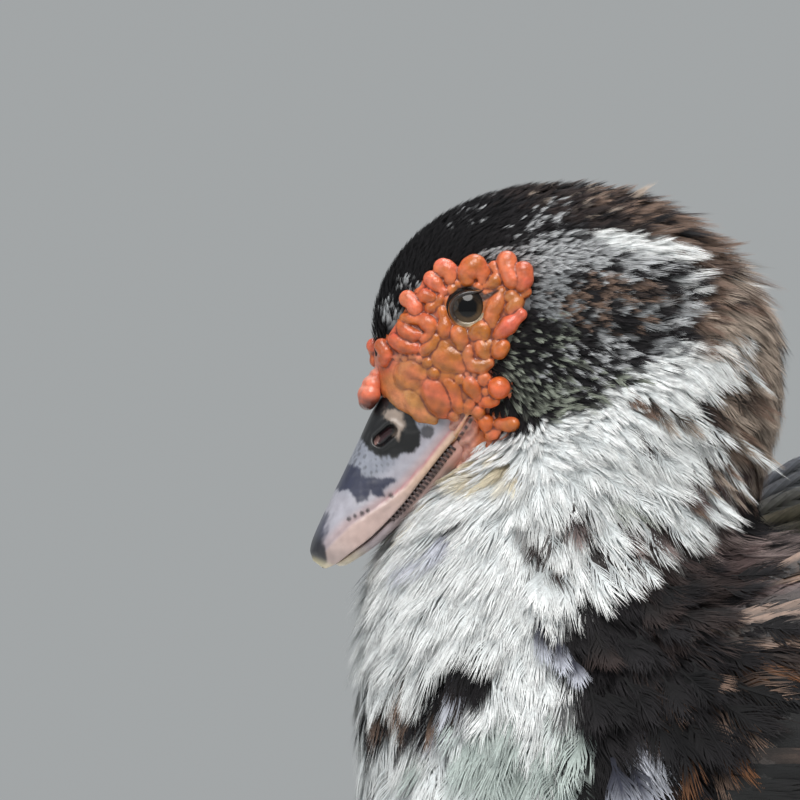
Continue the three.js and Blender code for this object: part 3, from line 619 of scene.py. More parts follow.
# %% Patches over the dark coat
# Tone, place from the eye (back, up), half length and height, turn in degrees, raggedness, share of feathers
PATCHES = [
    ("black", -8, 22, 34, 15, 40, 0.2, 1), ("black", -22, 8, 10, 22, -10, 0.2, 1),
    ("black", 12, 40, 26, 9, 6, 0.3, 1), ("sprig", 50, 34, 28, 12, -14, 0.9, 0.2),
    ("umber", 40, 34, 30, 12, -10, 0.9, 0.6), ("brown", 64, 28, 24, 12, -20, 0.9, 0.5),
    ("grey", 24, 6, 9, 12, 10, 0.8, 0.8), ("fleck", 24, 26, 13, 4.5, 26, 1, 0.16),
    ("fleck", 5, 29, 9, 4, 30, 1, 0.06), ("fleck", 25, 15, 15, 6.5, 10, 0.7, 0.85),
    ("fleck", 44, 13, 15, 6, -6, 0.9, 0.75), ("white", 52, 17.5, 15, 3.6, -13, 0.6, 0.92),
    ("white", 70, 6, 8, 3, -22, 0.7, 0.6), ("brown", 44, 0, 17, 9, -6, 0.9, 0.6),
    ("grey", 54, -6, 18, 10, -10, 1, 0.38), ("black", 45, -9, 14, 7, -8, 1, 0.45),
    ("olive", 22, -16, 12, 13, -10, 1, 0.42), ("black", 21, -12, 7, 8, 10, 0.7, 0.7),
    ("olive", 32, -26, 22, 7, 8, 1, 0.5), ("black", 36, -22, 18, 7, 6, 1, 0.4),
    ("fleck", 40, -18, 18, 9, 0, 1, 0.3), ("white", 62, -19, 24, 6.5, 27, 0.5, 0.85),
    ("fleck", 68, -3, 10, 9, -10, 1, 0.5), ("brown", 82, 2, 12, 30, -20, 0.4, 1),
    ("umber", 82, 2, 12, 26, -20, 1, 0.35), ("sprig", 84, -2, 11, 28, -20, 1, 0.7),
    ("brown", 86, -34, 13, 24, 0, 0.3, 1), ("sprig", 88, -30, 13, 24, 0, 1, 0.66),
    ("fleck", -15.5, 6.5, 3.4, 3, 40, 0.5, 0.5), ("fleck", -20.5, -1.5, 2.4, 4.5, 0, 0.5, 0.6),
    ("fleck", 8, 14.5, 8, 2.4, 20, 0.8, 0.5),
]
# The white of the neck ends above at a line from the mouth to the nape, and behind at a ragged line.
WHITE_ABOVE = [
    (-70, -41), (0, -39), (15, -37), (27, -34), (39, -30), (50, -24), (62, -19), (71, -14), (84, -11),
]
WHITE_BEHIND = [
    (-190, -62), (-172, -20), (-158, 12), (-144, 20), (-126, 22.5), (-110, 23), (-98, 20), (-91, 32),
    (-77, 48), (-69, 64), (-60, 78), (-52, 84), (-44, 76), (-36, 70), (-26, 74), (-12, 84),
]
LATER_PATCHES = [
    ("cream", -6, -47, 20, 6, -18, 0.5, 0.7), ("cream", -22, -62, 12, 7, 40, 0.5, 0.5),
    ("charcoal", -9, -67, 7, 1.6, 38, 0.9, 0.5), ("lavender", -16, -76, 9, 3, 50, 0.8, 0.5),
    ("brown", 52, -30, 10, 3, -25, 1, 0.35), ("umber", 60, -46, 14, 5, -30, 1, 0.45),
    ("umber", 47, -74, 30, 10, -6, 0.8, 0.7), ("mauve", 74, -58, 12, 12, -30, 0.8, 0.5),
    ("umber", 60, -94, 20, 8, 30, 0.8, 0.5), ("olive", 46, -62, 12, 4, -30, 1, 0.25),
    ("fleck", -9, -117, 7, 13, -28, 0.8, 0.9), ("charcoal", -9, -116, 8, 14, -28, 1, 0.5),
    ("black", -12, -119, 6, 13, -28, 1, 0.42), ("lavender", -10, -120, 6, 12, -28, 1, 0.22),
    ("brown", -22, -122, 14, 4, 14, 0.9, 0.45), ("charcoal", -28, -126, 10, 6, 0, 0.9, 0.6),
    ("brown", -38, -108, 4, 30, -4, 1, 0.5), ("brown", 84, -122, 36, 20, 0, 0.9, 0.26),
    ("rust", 92, -108, 14, 10, -14, 1, 0.3), ("rust", 74, -142, 30, 10, 0, 1, 0.25),
    ("mauve", 86, -77, 24, 6, -8, 0.7, 0.75), ("dusk", 84, -71, 24, 4.5, -2, 0.9, 0.6),
    # The last patch is painted shade on the white of the lower breast.
    ("lavender", 46, -138, 7, 5, -40, 0.3, 1), ("white_in_shade", 5, -141, 24, 16, 0, 1, 0.85),
]

print("patches under the white of the neck:", len(PATCHES), "over it:", len(LATER_PATCHES))


# %% How a patch thins out at its edge
def patch_mask(points, draws, patch):
    tone, x, z, long, high, degrees, ragged, share = patch
    cosine = math.cos(math.radians(degrees))
    sine = math.sin(math.radians(degrees))
    back = points[:, 0] - EYE_X - x
    rise = points[:, 2] - EYE_Z - z
    reach = np.hypot((back * cosine + rise * sine) / long, (rise * cosine - back * sine) / high)
    reach = reach + 0.16 * ripple(points, 13) + ragged * 0.5 * (draws[:, 0] - 0.5)
    chosen = smooth(share - draws[:, 1], -0.07, 0.07) if share < 1 else 1
    return smooth(reach, 1.1, 0.9) * chosen


def white_mask(points, draws):
    back = points[:, 0] - EYE_X
    rise = points[:, 2] - EYE_Z
    above = np.interp(back, *np.array(WHITE_ABOVE, float).T)
    behind = np.interp(rise, *np.array(WHITE_BEHIND, float).T)
    stray = 2.6 * ripple(points, 17) + 7 * (draws[:, 0] - 0.5)
    return smooth(above - rise + 0.5 * stray, -1, 1) * smooth(behind - back + stray, -1, 1)


def markings(points, draws):
    """Root colour and tip colour at each point, for draws of (count, patches, 2) chances."""
    root, tip = (np.tile(colour, (len(points), 1)) for colour in TONES["charcoal"])
    steps = [*PATCHES, None, *LATER_PATCHES]
    for number, patch in enumerate(steps):
        luck = draws[:, number]
        amount = white_mask(points, luck) if patch is None else patch_mask(points, luck, patch)
        colours = TONES["white" if patch is None else patch[0]]
        root = mix(root, colours[0], amount[:, None])
        tip = mix(tip, colours[1], amount[:, None])
    return root, tip


PATCH_COUNT = len(PATCHES) + 1 + len(LATER_PATCHES)
print("patches:", PATCH_COUNT)

# %% Paint and sink the skin
BARE_DEPTH = 0.3
SLIM_BREAST = 4.5
ROOT_TO_TIP = 0.25


def paint(piece, name, colours):
    layer = piece.data.color_attributes.new(name, "FLOAT_COLOR", "POINT")
    values = np.ones((len(colours), 4), np.float32)
    values[:, :3] = colours
    layer.data.foreach_set("color", values.ravel())


def toned(under, over, amount):
    """One colour over another, by an amount for each point."""
    return mix(under, over, amount[:, None])


def breast(points):
    """How far the breast is slimmed, so that its front edge runs as the photo's does."""
    return SLIM_BREAST * bump_at(points, -35, -105, 27, 42)


even = np.full((vertex_count, PATCH_COUNT, 2), 0.5)
even[:, :, 1] = 0.3
skin_roots, skin_tips = markings(flesh, even)
paint(body, "plumage", mix(skin_roots, skin_tips, ROOT_TO_TIP))
depth = by_distance(COAT_DEPTH, from_eye(flesh)) + breast(flesh)
depth = np.where(bare < 0, BARE_DEPTH, depth)
move_points(smooth_shaded(body), flesh - flesh_normals * depth[:, None])
print("skin sunk by", depth.min().round(2), "to", depth.max().round(2), "mm")

# %% [markdown]
# ## How the feathers lie
# Feathers point away from the bill, sweep up over the brow, back over the cheek and down the throat.
# A comb of this kind is easiest to give by guides: a place in profile and the way its feathers point.
# Between guides the nearest ones decide, and the way is laid flat on the surface.

# %% Guides for the lie of the feathers
# Place from the eye (back, up), and the angle above straight back, in degrees
GUIDES = [
    (-22, 2, 72), (-20, 16, 70), (-8, 28, 42), (10, 34, 16), (38, 34, -2), (62, 31, -12), (78, 16, -35),
    (86, 2, -45), (88, -25, -34), (82, -39, -34), (38, 2, -6), (20, -7, -10), (26, -28, -20), (58, -7, -12),
    (64, -28, -35), (74, -51, -60), (50, -39, -52), (24, -42, -30), (4, -48, -150), (11, -42, -120),
    (15, -46, -95), (18, -40, -60), (-11, -57, -145), (-20, -69, -138), (-5, -75, -117), (8, -75, -105),
    (6, -92, -100), (22, -63, -88), (20, -86, -85), (36, -63, -68), (46, -78, -64), (60, -69, -60),
    (-28, -98, -118), (-34, -116, -110), (-16, -116, -102), (2, -128, -95), (16, -116, -84),
    (28, -101, -72), (42, -92, -64), (56, -92, -55), (70, -86, -45), (80, -75, -18), (62, -75, -50),
    (40, -116, -64), (70, -116, -38), (82, -122, -26), (52, -98, -64), (66, -97, -52), (80, -98, -36),
    (50, -130, -66), (62, -120, -55), (84, -112, -36), (130, -75, -6), (250, -85, -8), (350, -100, -8),
    (150, -130, -14), (150, -190, -8), (60, -190, -30), (0, -190, -70), (-10, -170, -95), (100, -235, -3),
    (300, -150, -2), (165, -220, -70),
]
guide_places = np.array([guide[:2] for guide in GUIDES], float)
guide_angles = np.radians([guide[2] for guide in GUIDES])
guide_ways = np.stack([np.cos(guide_angles), np.sin(guide_angles)], -1)


def lie(points, normals):
    gaps = ((in_profile(points)[:, None] - guide_places) ** 2).sum(2)
    pull = 1 / (gaps + 12) ** 2
    ways = pull @ guide_ways / pull.sum(1, keepdims=True)
    along = np.stack([ways[:, 0], np.zeros(len(ways)), ways[:, 1]], -1)
    along -= normals * (along * normals).sum(1, keepdims=True)
    return along / np.maximum(np.linalg.norm(along, axis=1, keepdims=True), 1e-6)


print("guides:", len(GUIDES))

# %% [markdown]
# ## Where each feather grows
# Head feathers are a few millimetres long and closely set, and body feathers are as long as a thumb.
# Roots are drawn at random over the surface by area, and a root that falls too close to another is
# left out, which spaces them evenly. Then each feather's middle line is walked over the surface.

# %% Sizes and spacing by distance from the eye
LENGTHS = [
    (0, 2.8), (14, 3.4), (25, 5), (40, 7), (55, 10), (66, 15), (85, 21), (110, 25), (150, 27), (220, 30),
    (330, 34),
]
SPACINGS = [
    (0, 0.56), (14, 0.62), (25, 0.8), (40, 1.05), (55, 1.6), (66, 2.1), (85, 3), (110, 4.1), (150, 5.6),
    (220, 8.2), (330, 10),
]
WIDTH_SHARE = [(0, 0.2), (25, 0.16), (55, 0.18), (75, 0.25), (110, 0.29), (200, 0.37)]
WHITE_AWAY = 22
ROOTS_TRIED = 160000
luck = np.random.default_rng(21)


def coat_away(points):
    """Distance from the eye, counted as further in the white of the neck, where feathers are long."""
    above = np.interp(points[:, 0] - EYE_X, *np.array(WHITE_ABOVE, float).T)
    below = above - (points[:, 2] - EYE_Z)
    near = smooth(from_eye(points), 90, 60)
    return from_eye(points) + WHITE_AWAY * smooth(below, -1, 7) * near


corners = flesh[quads]
across_face = np.cross(corners[:, 2] - corners[:, 0], corners[:, 3] - corners[:, 1])
face_area = 0.5 * np.linalg.norm(across_face, axis=1)
wanted = face_area / by_distance(SPACINGS, coat_away(corners.mean(1))) ** 2
picked = luck.choice(len(quads), ROOTS_TRIED, p=wanted / wanted.sum())
u, v = luck.uniform(size=(2, ROOTS_TRIED, 1))
a, b, c, d = corners[picked].transpose(1, 0, 2)
tried = mix(mix(a, b, u), mix(d, c, u), v)


def thinned(points, radii):
    """The points that keep their radius from every point kept before them."""
    cells = {}
    kept = []
    for number, (point, radius) in enumerate(zip(points.tolist(), radii.tolist())):
        scale = 2.0 ** math.ceil(math.log2(radius))
        key = tuple(math.floor(value / scale) for value in point)
        near = [
            other
            for i in (-1, 0, 1)
            for j in (-1, 0, 1)
            for k in (-1, 0, 1)
            for other in cells.get((scale, key[0] + i, key[1] + j, key[2] + k), ())
        ]
        if all(sum((a - b) ** 2 for a, b in zip(point, other)) > radius**2 for other in near):
            cells.setdefault((scale, *key), []).append(point)
            kept.append(number)
    return np.array(kept)


kept = thinned(tried, by_distance(SPACINGS, coat_away(tried)))
print("roots tried:", ROOTS_TRIED, "kept:", len(kept))

# %% Roots that feathers really grow from
# Places along x and heights of the bill's root, the covered part of the wing, and the bare shank
BILL_BEFORE_X = -29
BILL_HEIGHTS = (283, 303)
WING_ALONG_X = (74, 405)
SHANK_BEHIND_X = 100
SHANK_BELOW_Z = 69


def within(values, low, high):
    return (values > low) & (values < high)


roots, root_faces = nearest(tried[kept])
x, y, z = roots.T
on_face = (edge_distance(roots, BARE_FACE) < -0.5) | (edge_distance(roots, GAPE) < -0.6)
in_bill = (x < BILL_BEFORE_X) & within(z, *BILL_HEIGHTS)
on_wing = within(z, wing_low(x) + 4, wing_top(x) - 3) & within(x, *WING_ALONG_X)
on_wing = on_wing & (np.abs(y) > 0.6 * wing_half(x))
on_shank = (z < SHANK_BELOW_Z) & (x > SHANK_BEHIND_X)
grown = ~(on_face | in_bill | on_wing | on_shank)
roots, root_faces = roots[grown], root_faces[grown]
root_draws = luck.uniform(size=(len(roots), PATCH_COUNT, 2))
print("feather roots:", len(roots), "left out:", int((~grown).sum()))

# %% Walk each middle line over the surface
WALK_STEPS = 4


def walk(starts, faces, lengths, stray):
    """Places and normals at the root, middle and tip of feathers that follow the surface."""
    place = starts
    normal = normals_at(starts, faces)
    line = [(place, normal)]
    for _ in range(WALK_STEPS):
        along = lie(place, normal)
        along = along + np.cross(normal, along) * stray[:, None]
        place, faces = nearest(place + along * (lengths / WALK_STEPS)[:, None])
        normal = normals_at(place, faces)
        line.append((place, normal))
    places = np.stack([line[0][0], line[2][0], line[4][0]], 1)
    normals = np.stack([line[0][1], line[2][1], line[4][1]], 1)
    return places, normals


SHOWN = 0.35
away = coat_away(roots)
tufty = bump_at(roots, -22, -82, 24, 34)
shaggy = bump_at(roots, 62, 20, 22, 20)
lengths = by_distance(LENGTHS, away) * luck.uniform(0.8, 1.2, len(roots)) * (1 + 0.5 * shaggy)
halves = lengths * by_distance(WIDTH_SHARE, away) * luck.uniform(0.9, 1.1, len(roots))
stray = luck.normal(0, 0.17, len(roots)) * mix(1, 1.4, shaggy)
places, normals = walk(roots, root_faces, lengths, stray)
root_maps = map_at(roots, root_faces)
root_colours, tip_colours = markings(mix(places[:, 1], places[:, 2], SHOWN), root_draws)
print("middle lines:", places.shape, "longest feather:", lengths.max().round(1), "mm")

# %% [markdown]
# ## One feather, many times
# A feather is a shaft with a row of barbs on each side. On the neck and body the barbs are loose near
# the tip and part into fine threads, which gives the soft brushed look. A flat vane with a picture
# of barbs would look like paper, so each barb is a thin ribbon of a few faces, narrower to its tip.
# All feathers of a region are worked out at once as arrays and become one mesh.

# %% Shape of a feather's barbs
# Barbs a side, share of the shaft that bears them, their reach forwards and aside, then their looseness,
# and how much darker their roots are painted, as painted shade
SOFT = dict(
    barbs=19, first=0.02, last=0.56, sweep=0.74, taper=1, narrow=0.94, lean=2, steps=(0, 0.45, 1), cover=1.2,
    thread=0.2, camber=0.2, ragged=0.12, splay=0.7, curl=0.12, tilt=0.22, fringe=0, clump=0.55, root_shade=0.45,
)
PATCH_SIZE = 0.003
CLUMP_SIZE = 4
SHAFT_WIDTH = 0.02


def weighted(points, weights):
    root, middle, tip = (points[:, part, None, None] * weights[part][..., None] for part in range(3))
    return root + middle + tip


def line_at(points, a):
    """A smooth line through three points per feather, at each share of its length."""
    return weighted(points, ((1 - a) * (1 - 2 * a), 4 * a * (1 - a), a * (2 * a - 1)))


def slope_at(points, a):
    return weighted(points, (4 * a - 3, 4 - 8 * a, 4 * a - 1))


def unit_of(vectors):
    return vectors / np.maximum(np.linalg.norm(vectors, axis=-1, keepdims=True), 1e-9)


def barb_paths(style, count, draw):
    """Share along the shaft and share of the half width, for (feather, barb, step)."""
    n = style["barbs"]
    starts = mix(style["first"], style["last"], np.linspace(0, 1, n))
    starts = np.tile(starts, 2) + draw.normal(0, 0.3 / n, (count, 2 * n))
    starts = np.concatenate([np.clip(starts, 0.01, 0.93), np.zeros((count, 1))], 1)
    share = starts / style["last"]
    ends = starts + style["sweep"] * (1 - 0.4 * share)
    ends = np.minimum(ends * (1 + style["ragged"] * draw.normal(0, 0.35, ends.shape)), 1.06)
    ends = np.maximum(ends, starts + 0.06)
    reach = (0.86 + 0.14 * np.sin(math.pi * share)) * (1 - style["narrow"] * share ** style["taper"])
    reach = reach * (1 + style["ragged"] * draw.normal(0, 1, reach.shape))
    for offset in range(CLUMP_SIZE):
        rows = np.arange(count) % CLUMP_SIZE == offset
        group = (np.arange(2 * n) % n + offset) // CLUMP_SIZE + 1000 * (np.arange(2 * n) // n)
        for one in np.unique(group):
            columns = np.flatnonzero(group == one)
            for values in (ends, reach):
                block = values[np.ix_(rows, columns)]
                values[np.ix_(rows, columns)] = mix(block, block.mean(1, keepdims=True), style["clump"])
    reach[:, :n] *= -1
    reach[:, -1] = 0
    ends[:, -1] = 0.97
    t = np.array(style["steps"])
    a = mix(starts[..., None], ends[..., None], t**1.15)
    c = reach[..., None] * (1 - (1 - t) ** style["lean"])
    return a, c + style["curl"] * draw.normal(0, 1, reach.shape)[..., None] * t**3


print("triangles a soft feather:", (2 * SOFT["barbs"] + 1) * (2 * len(SOFT["steps"]) - 3))


# %% Tones and ribbons of a feather
def map_of(points):
    return map_at(*nearest(points))


def tones_of(names):
    """Root colours and tip colours of these tones."""
    return tuple(np.array([TONES[name][end] for name in names]) for end in (0, 1))


def ribbons(points, across, width):
    """Points and faces of one tapered ribbon per barb, along its line of points."""
    count, barbs, steps = points.shape[:3]
    left = points[:, :, :-1] + across[:, :, :-1] * width[:, :, :-1, None]
    right_edge = points[:, :, :-1] - across[:, :, :-1] * width[:, :, :-1, None]
    pairs = np.stack([right_edge, left], 3).reshape(count, barbs, 2 * (steps - 1), 3)
    each = 2 * (steps - 1) + 1
    local = []
    for first in range(0, each - 3, 2):
        local += [(first, first + 2, first + 3), (first, first + 3, first + 1)]
    local.append((each - 3, each - 1, each - 2))
    starts = np.arange(count * barbs)[:, None, None] * each
    return np.concatenate([pairs, points[:, :, -1:]], 2), (starts + np.array(local)).reshape(-1, 3)


print("two tones of a white feather:", *(tone.round(2) for tone in tones_of(["white"])))


# %% Grow the feathers of one region
def grow(
    name, style, places, normals, lengths, halves, roots, tips, seed,
    maps=None, depths=None, lifts=None, stripes=None,
):
    """One mesh of feathers along these lines, from root colours to tip colours."""
    draw = np.random.default_rng(seed)
    count = len(places)
    maps = map_of(places[:, 1]) if maps is None else maps
    depths = np.zeros(count) if depths is None else depths
    lifts = np.zeros(count) if lifts is None else lifts
    a, c = barb_paths(style, count, draw)
    t = np.array(style["steps"])
    shape = a.shape
    middle = line_at(places, a)
    forward = unit_of(slope_at(places, a))
    outward = unit_of(line_at(normals, a))
    sideways = unit_of(np.cross(outward, forward))
    long = lengths[:, None, None]
    half = halves[:, None, None]
    height = -depths[:, None, None] * np.clip(1 - a, 0, 1) ** 1.4 + lifts[:, None, None] * a**2
    height = height - style["camber"] * half * c**2
    height = height + style["tilt"] * draw.normal(0, 1, count)[:, None, None] * half * c
    height = height + style["splay"] * draw.normal(0, 0.5, shape[:2])[..., None] * t**2
    points = middle + sideways * (c * half)[..., None] + outward * height[..., None]
    run = unit_of(np.gradient(points, axis=2))
    across = unit_of(np.cross(outward, run))
    reach = np.maximum((style["last"] - style["first"]) * long * 0.5, half)
    spread = style["cover"] * reach / style["barbs"]
    width = mix(spread, style["thread"], smooth(t, 0, 0.95)) / 2
    width = np.broadcast_to(width, shape).copy()
    width[:, -1] = SHAFT_WIDTH * long[:, 0] * (1 - 0.8 * t)
    ribbon, faces = ribbons(points, across, width)
    piece = mesh_piece(name, ribbon.reshape(-1, 3), faces)

    along, aside, outer = (
        np.concatenate([np.repeat(share[..., :-1], 2, axis=-1), share[..., -1:]], -1) for share in (a, c, t)
    )
    amount = smooth(along + 0.25 * np.abs(aside), 0.35, 1.05)
    amount = np.maximum(amount, style["fringe"] * smooth(outer, 0.5, 1) * (along > 0.3))
    shade = mix(roots[:, None, None], tips[:, None, None], amount[..., None])
    if stripes is not None:
        shade = mix(shade, stripes[:, None, None], smooth(np.abs(aside), 0.3, 0.6)[..., None])
    # Each feather is painted darker towards its root: painted shade, cast by the feathers that lie over it.
    shade = shade * mix(style["root_shade"], 1, smooth(along, 0, 0.5))[..., None]
    shade = shade * draw.uniform(0.8, 1.12, (count, shape[1], 1, 1))
    shade = shade * draw.uniform(0.84, 1.08, (count, 1, 1, 1))
    paint(piece, "plumage", np.clip(shade, 0, 1).reshape(-1, 3))

    spots = maps[:, None, None] + PATCH_SIZE * 0.5 * np.stack([2 * along - 1, aside], -1)
    layer = piece.data.uv_layers.new(name="OFBake")
    layer.data.foreach_set("uv", spots.reshape(-1, 2)[faces.ravel()].astype(np.float32).ravel())
    print(name, "feathers:", count, "triangles:", len(faces))
    return piece


print("triangles of one soft barb:", 2 * len(SOFT["steps"]) - 3)

# %% Feathers of the head, neck and body
HEAD_STYLE = dict(SOFT, barbs=7, thread=0.05, splay=0.24, clump=0.25)
BODY_STYLE = dict(SOFT, barbs=22, cover=2.1, thread=0.3, sweep=0.5, last=0.72, taper=2, narrow=0.8, lean=1.6)
LIFT_SHARE = 0.07
SHAGGY_LIFT = 7.5
TUFT_LIFT = 4.5
CROWN_LIFT = 3.5

depths = by_distance(COAT_DEPTH, away) * 0.9 + breast(roots)
lifts = LIFT_SHARE * lengths * luck.uniform(-0.1, 1.7, len(roots))
lifts = lifts + SHAGGY_LIFT * shaggy * luck.uniform(0.3, 1.15, len(roots))
lifts = lifts + TUFT_LIFT * tufty * luck.uniform(-0.2, 1, len(roots)) ** 2 - breast(roots)
lifts = lifts + CROWN_LIFT * bump_at(roots, 54, 33, 26, 14) * luck.uniform(0.1, 1.1, len(roots))
extras = {"maps": root_maps, "depths": depths, "lifts": lifts}
# Region, how far from the eye it reaches, and its feathers
REGIONS = [
    ("coat_head", 54, HEAD_STYLE),
    ("coat_neck", 100, SOFT),
    ("coat_breast", 160, SOFT),
    ("coat_body", 900, BODY_STYLE),
]
taken = np.zeros(len(roots), bool)
coat = []
for number, (region, farthest, style) in enumerate(REGIONS):
    for side, word in SIDES:
        chosen = (away < farthest) & ~taken & (np.where(roots[:, 1] < 0, -1, 1) == side)
        picked = (values[chosen] for values in (places, normals, lengths, halves, root_colours, tip_colours))
        chosen_extras = {key: values[chosen] for key, values in extras.items()}
        coat.append(grow(region + "_" + word, style, *picked, seed=number * 2 + (side > 0), **chosen_extras))
        taken |= chosen
print("pieces of the coat:", len(coat))

# %% [markdown]
# ## Fans of the ruff and the shoulder
# Where the white neck ends, its last feathers stand off as single rounded fans over the dark shoulder,
# and the shoulder itself is covered by broad downy ones. Chance would scatter them, so each row is given
# as a line of tips in profile. The same builder then makes them, a little wider and more lifted.

# %% Fans of the ruff and the shoulder
FAN = dict(
    SOFT, barbs=15, first=0.1, last=0.62, sweep=0.6, lean=1.5, cover=0.72, curl=0.16, camber=0.55, splay=0.9,
    tilt=0.2, narrow=0.9, lift=0.25,
)
LOOSE = dict(FAN, lift=0.55)
DOWNY = dict(FAN, barbs=24, cover=1.3, thread=0.3, clump=0.5, camber=0.3)
# Line of the tips from the eye (back, up), feathers, angles at both ends, length, half width, tones
FAN_ROWS = [
    (FAN, [(22, -101), (33, -93), (44, -92), (54, -87), (62, -80)], 7, -80, -52, 19, 6.2, "white"),
    (FAN, [(25, -80), (36, -75), (47, -77), (60, -78), (69, -73)], 7, -80, -50, 16, 5.4, "white white dusk"),
    (FAN, [(26, -64), (40, -62), (52, -63), (66, -68), (75, -70)], 7, -66, -45, 15, 4.8, "white"),
    (LOOSE, [(76, -69), (83, -61), (89, -53), (94, -44)], 8, -46, -32, 18, 3.2, "white white sprig"),
    (LOOSE, [(70, -62), (80, -52), (88, -42), (93, -32)], 8, -46, -34, 12, 2.4, "white sprig sprig brown"),
    (LOOSE, [(91, -34), (93, -22), (92, -10), (90, 2)], 7, -34, -40, 12, 2.4, "sprig sprig white brown"),
    (FAN, [(30, -50), (44, -49), (60, -51), (74, -54)], 8, -52, -38, 14, 4.4, "white"),
    (FAN, [(64, -36), (72, -40), (82, -41), (90, -33)], 6, -40, -30, 15, 3.4, "white sprig"),
    (DOWNY, [(21, -94), (29, -94), (36, -90)], 4, -78, -44, 19, 7, "white"),
    (DOWNY, [(26, -104), (36, -112)], 3, -55, -45, 17, 5, "frost"),
    (DOWNY, [(56, -127), (61, -136), (58, -147), (48, -156)], 5, 12, -52, 24, 8, "frost"),
    (DOWNY, [(50, -104), (60, -99), (68, -94), (76, -84)], 6, -72, -36, 18, 6.5, "umber umber charcoal"),
    (
        DOWNY, [(32, -114), (46, -114), (62, -110), (76, -101), (90, -89)], 9, -78, -30, 20, 8,
        "charcoal charcoal umber",
    ),
    (
        DOWNY, [(34, -128), (50, -128), (66, -123), (84, -112), (98, -98)], 9, -72, -28, 22, 9,
        "charcoal black",
    ),
    (DOWNY, [(56, -140), (70, -138), (86, -130), (104, -114)], 8, -62, -28, 24, 9, "charcoal black brown"),
]
FAN_RAISE = 0.6


def profile_line(line, t):
    """Places along a broken line in profile, at shares of its stations."""
    line = np.array(line, float)
    return np.stack([np.interp(t, np.linspace(0, 1, len(line)), line[:, axis]) for axis in (0, 1)], -1)


for number, (style, tips, count, angle_a, angle_b, long, half, tones) in enumerate(FAN_ROWS):
    for side, word in SIDES:
        draw = np.random.default_rng(90 + number)
        t = np.clip(np.linspace(0, 1, count) + draw.uniform(-0.3, 0.3, count) / count, 0, 1)
        ends = profile_line(tips, t) + draw.normal(0, 0.8, (count, 2))
        angle = np.radians(mix(angle_a, angle_b, t))
        spans = long * draw.uniform(0.85, 1.15, count)
        starts = ends - np.stack([np.cos(angle), np.sin(angle)], -1) * spans[:, None]
        found = [beside(EYE_X + back, EYE_Z + rise, side) for back, rise in starts]
        fan_roots, fan_faces = (np.array(values) for values in zip(*found))
        lines = walk(fan_roots, fan_faces, spans, draw.normal(0, 0.12, count))
        widths = half * draw.uniform(0.85, 1.1, count)
        colours = tones_of(draw.choice(tones.split(), count))
        above = {
            "maps": map_of(fan_roots),
            "depths": np.full(count, -FAN_RAISE),
            "lifts": style["lift"] * spans * draw.uniform(0.6, 1.2, count),
        }
        name = "coat_fans_" + str(number) + "_" + word
        coat.append(grow(name, style, *lines, spans, widths, *colours, seed=120 + number, **above))
print("rows of fans a side:", len(FAN_ROWS))

# %% [markdown]
# ## Wings and tail
# The big feathers of a folded wing lie in tiers like roof tiles: long primaries lowest, then the
# secondaries, the tertials over them, and rows of coverts over their roots. Their vanes are firm, with
# barbs that hold together to the edge. The solids give each tier's first and last feather,
# so here the same tiers are filled with more and finer feathers of the same builder.

# %% Firm vanes
FIRM = dict(
    SOFT, barbs=46, first=0.01, last=0.95, sweep=0.09, taper=10, narrow=0.74, lean=1.05, cover=3.4,
    thread=0.9, camber=0.1, ragged=0.035, splay=0.06, steps=(0, 0.7, 1), clump=0, curl=0, tilt=0,
)
GREATER = {"sweep": 0.22, "barbs": 30}
MEDIAN = {"sweep": 0.3, "barbs": 26}
# Tier, feathers, first root and tip, last root and tip, half widths, lift, style changes
TIERS = [
    ("primaries", 10, (214, 224), (412, 218), (206, 190), (306, 182), (8, 9), 1, {}),
    ("secondaries", 12, (128, 234), (250, 214), (80, 160), (184, 146), (12, 11), 3, {}),
    ("tertials", 5, (118, 247), (300, 232), (120, 233), (272, 216), (12, 13), 4.6, {}),
    ("greater_coverts", 15, (84, 236), (160, 228), (42, 168), (114, 146), (10, 9), 5, GREATER),
    ("median_coverts", 15, (62, 236), (112, 232), (30, 182), (76, 158), (9, 8), 6.2, MEDIAN),
]
VANE_SINK = 2
VANE_TILT = 0.13


def folded(count, corners, lift, side, draw):
    """Middle lines over the wing's surface for one tier, from its highest feather to its lowest."""
    t = np.linspace(0, 1, count)[:, None]
    root_a, tip_a, root_b, tip_b = np.array(corners, float)
    root = mix(root_a, root_b, t)
    tip = mix(tip_a, tip_b, t)
    tip = tip + draw.normal(0, 1, tip.shape) * (1.6, 0.5)
    lines = []
    for at in (0, 0.5, 1):
        x, z = mix(root, tip, at).T
        height = mix(-VANE_SINK, lift, min(1, at * 2))
        place = wing_point(x, z, height, side)
        down = unit_of(wing_point(x, z - 2, height, side) - wing_point(x, z + 2, height, side))
        back = unit_of(wing_point(x + 2, z, height, side) - wing_point(x - 2, z, height, side))
        facing = unit_of(np.cross(back, down) * side + VANE_TILT * down)
        lines.append((place, facing))
    return np.stack([line[0] for line in lines], 1), np.stack([line[1] for line in lines], 1)


print("feathers in the tiers of a wing:", sum(tier[1] for tier in TIERS))

# %% Tiers of the folded wings
wings = []
for side, word in SIDES:
    for row, (tier, count, *corners, half, lift, changes) in enumerate(TIERS):
        draw = np.random.default_rng(100 + row)
        lines, facings = folded(count, corners, lift, side, draw)
        spans = np.linalg.norm(lines[:, 2] - lines[:, 0], axis=1)
        style = dict(FIRM, **changes)
        tones = tones_of(["flight"] * count)
        if "coverts" in tier:
            style = dict(style, fringe=0.6, ragged=0.08, cover=2.8, thread=0.5)
            tones = tones_of(draw.choice(["black", "charcoal", "brown", "mauve"], count))
        widths = np.linspace(*half, count)
        name = "wing_" + tier + "_" + word
        wings.append((word, grow(name, style, lines, facings, spans, widths, *tones, seed=200 + row)))
print("tiers on both wings:", len(wings))

# %% Long pointed feathers of the shoulder
SCAPULARS = 8
SCAPULAR_REACH = 122
SCAPULAR_HALF_WIDTH = 8
ARCH = {"left": 16, "right": 40}
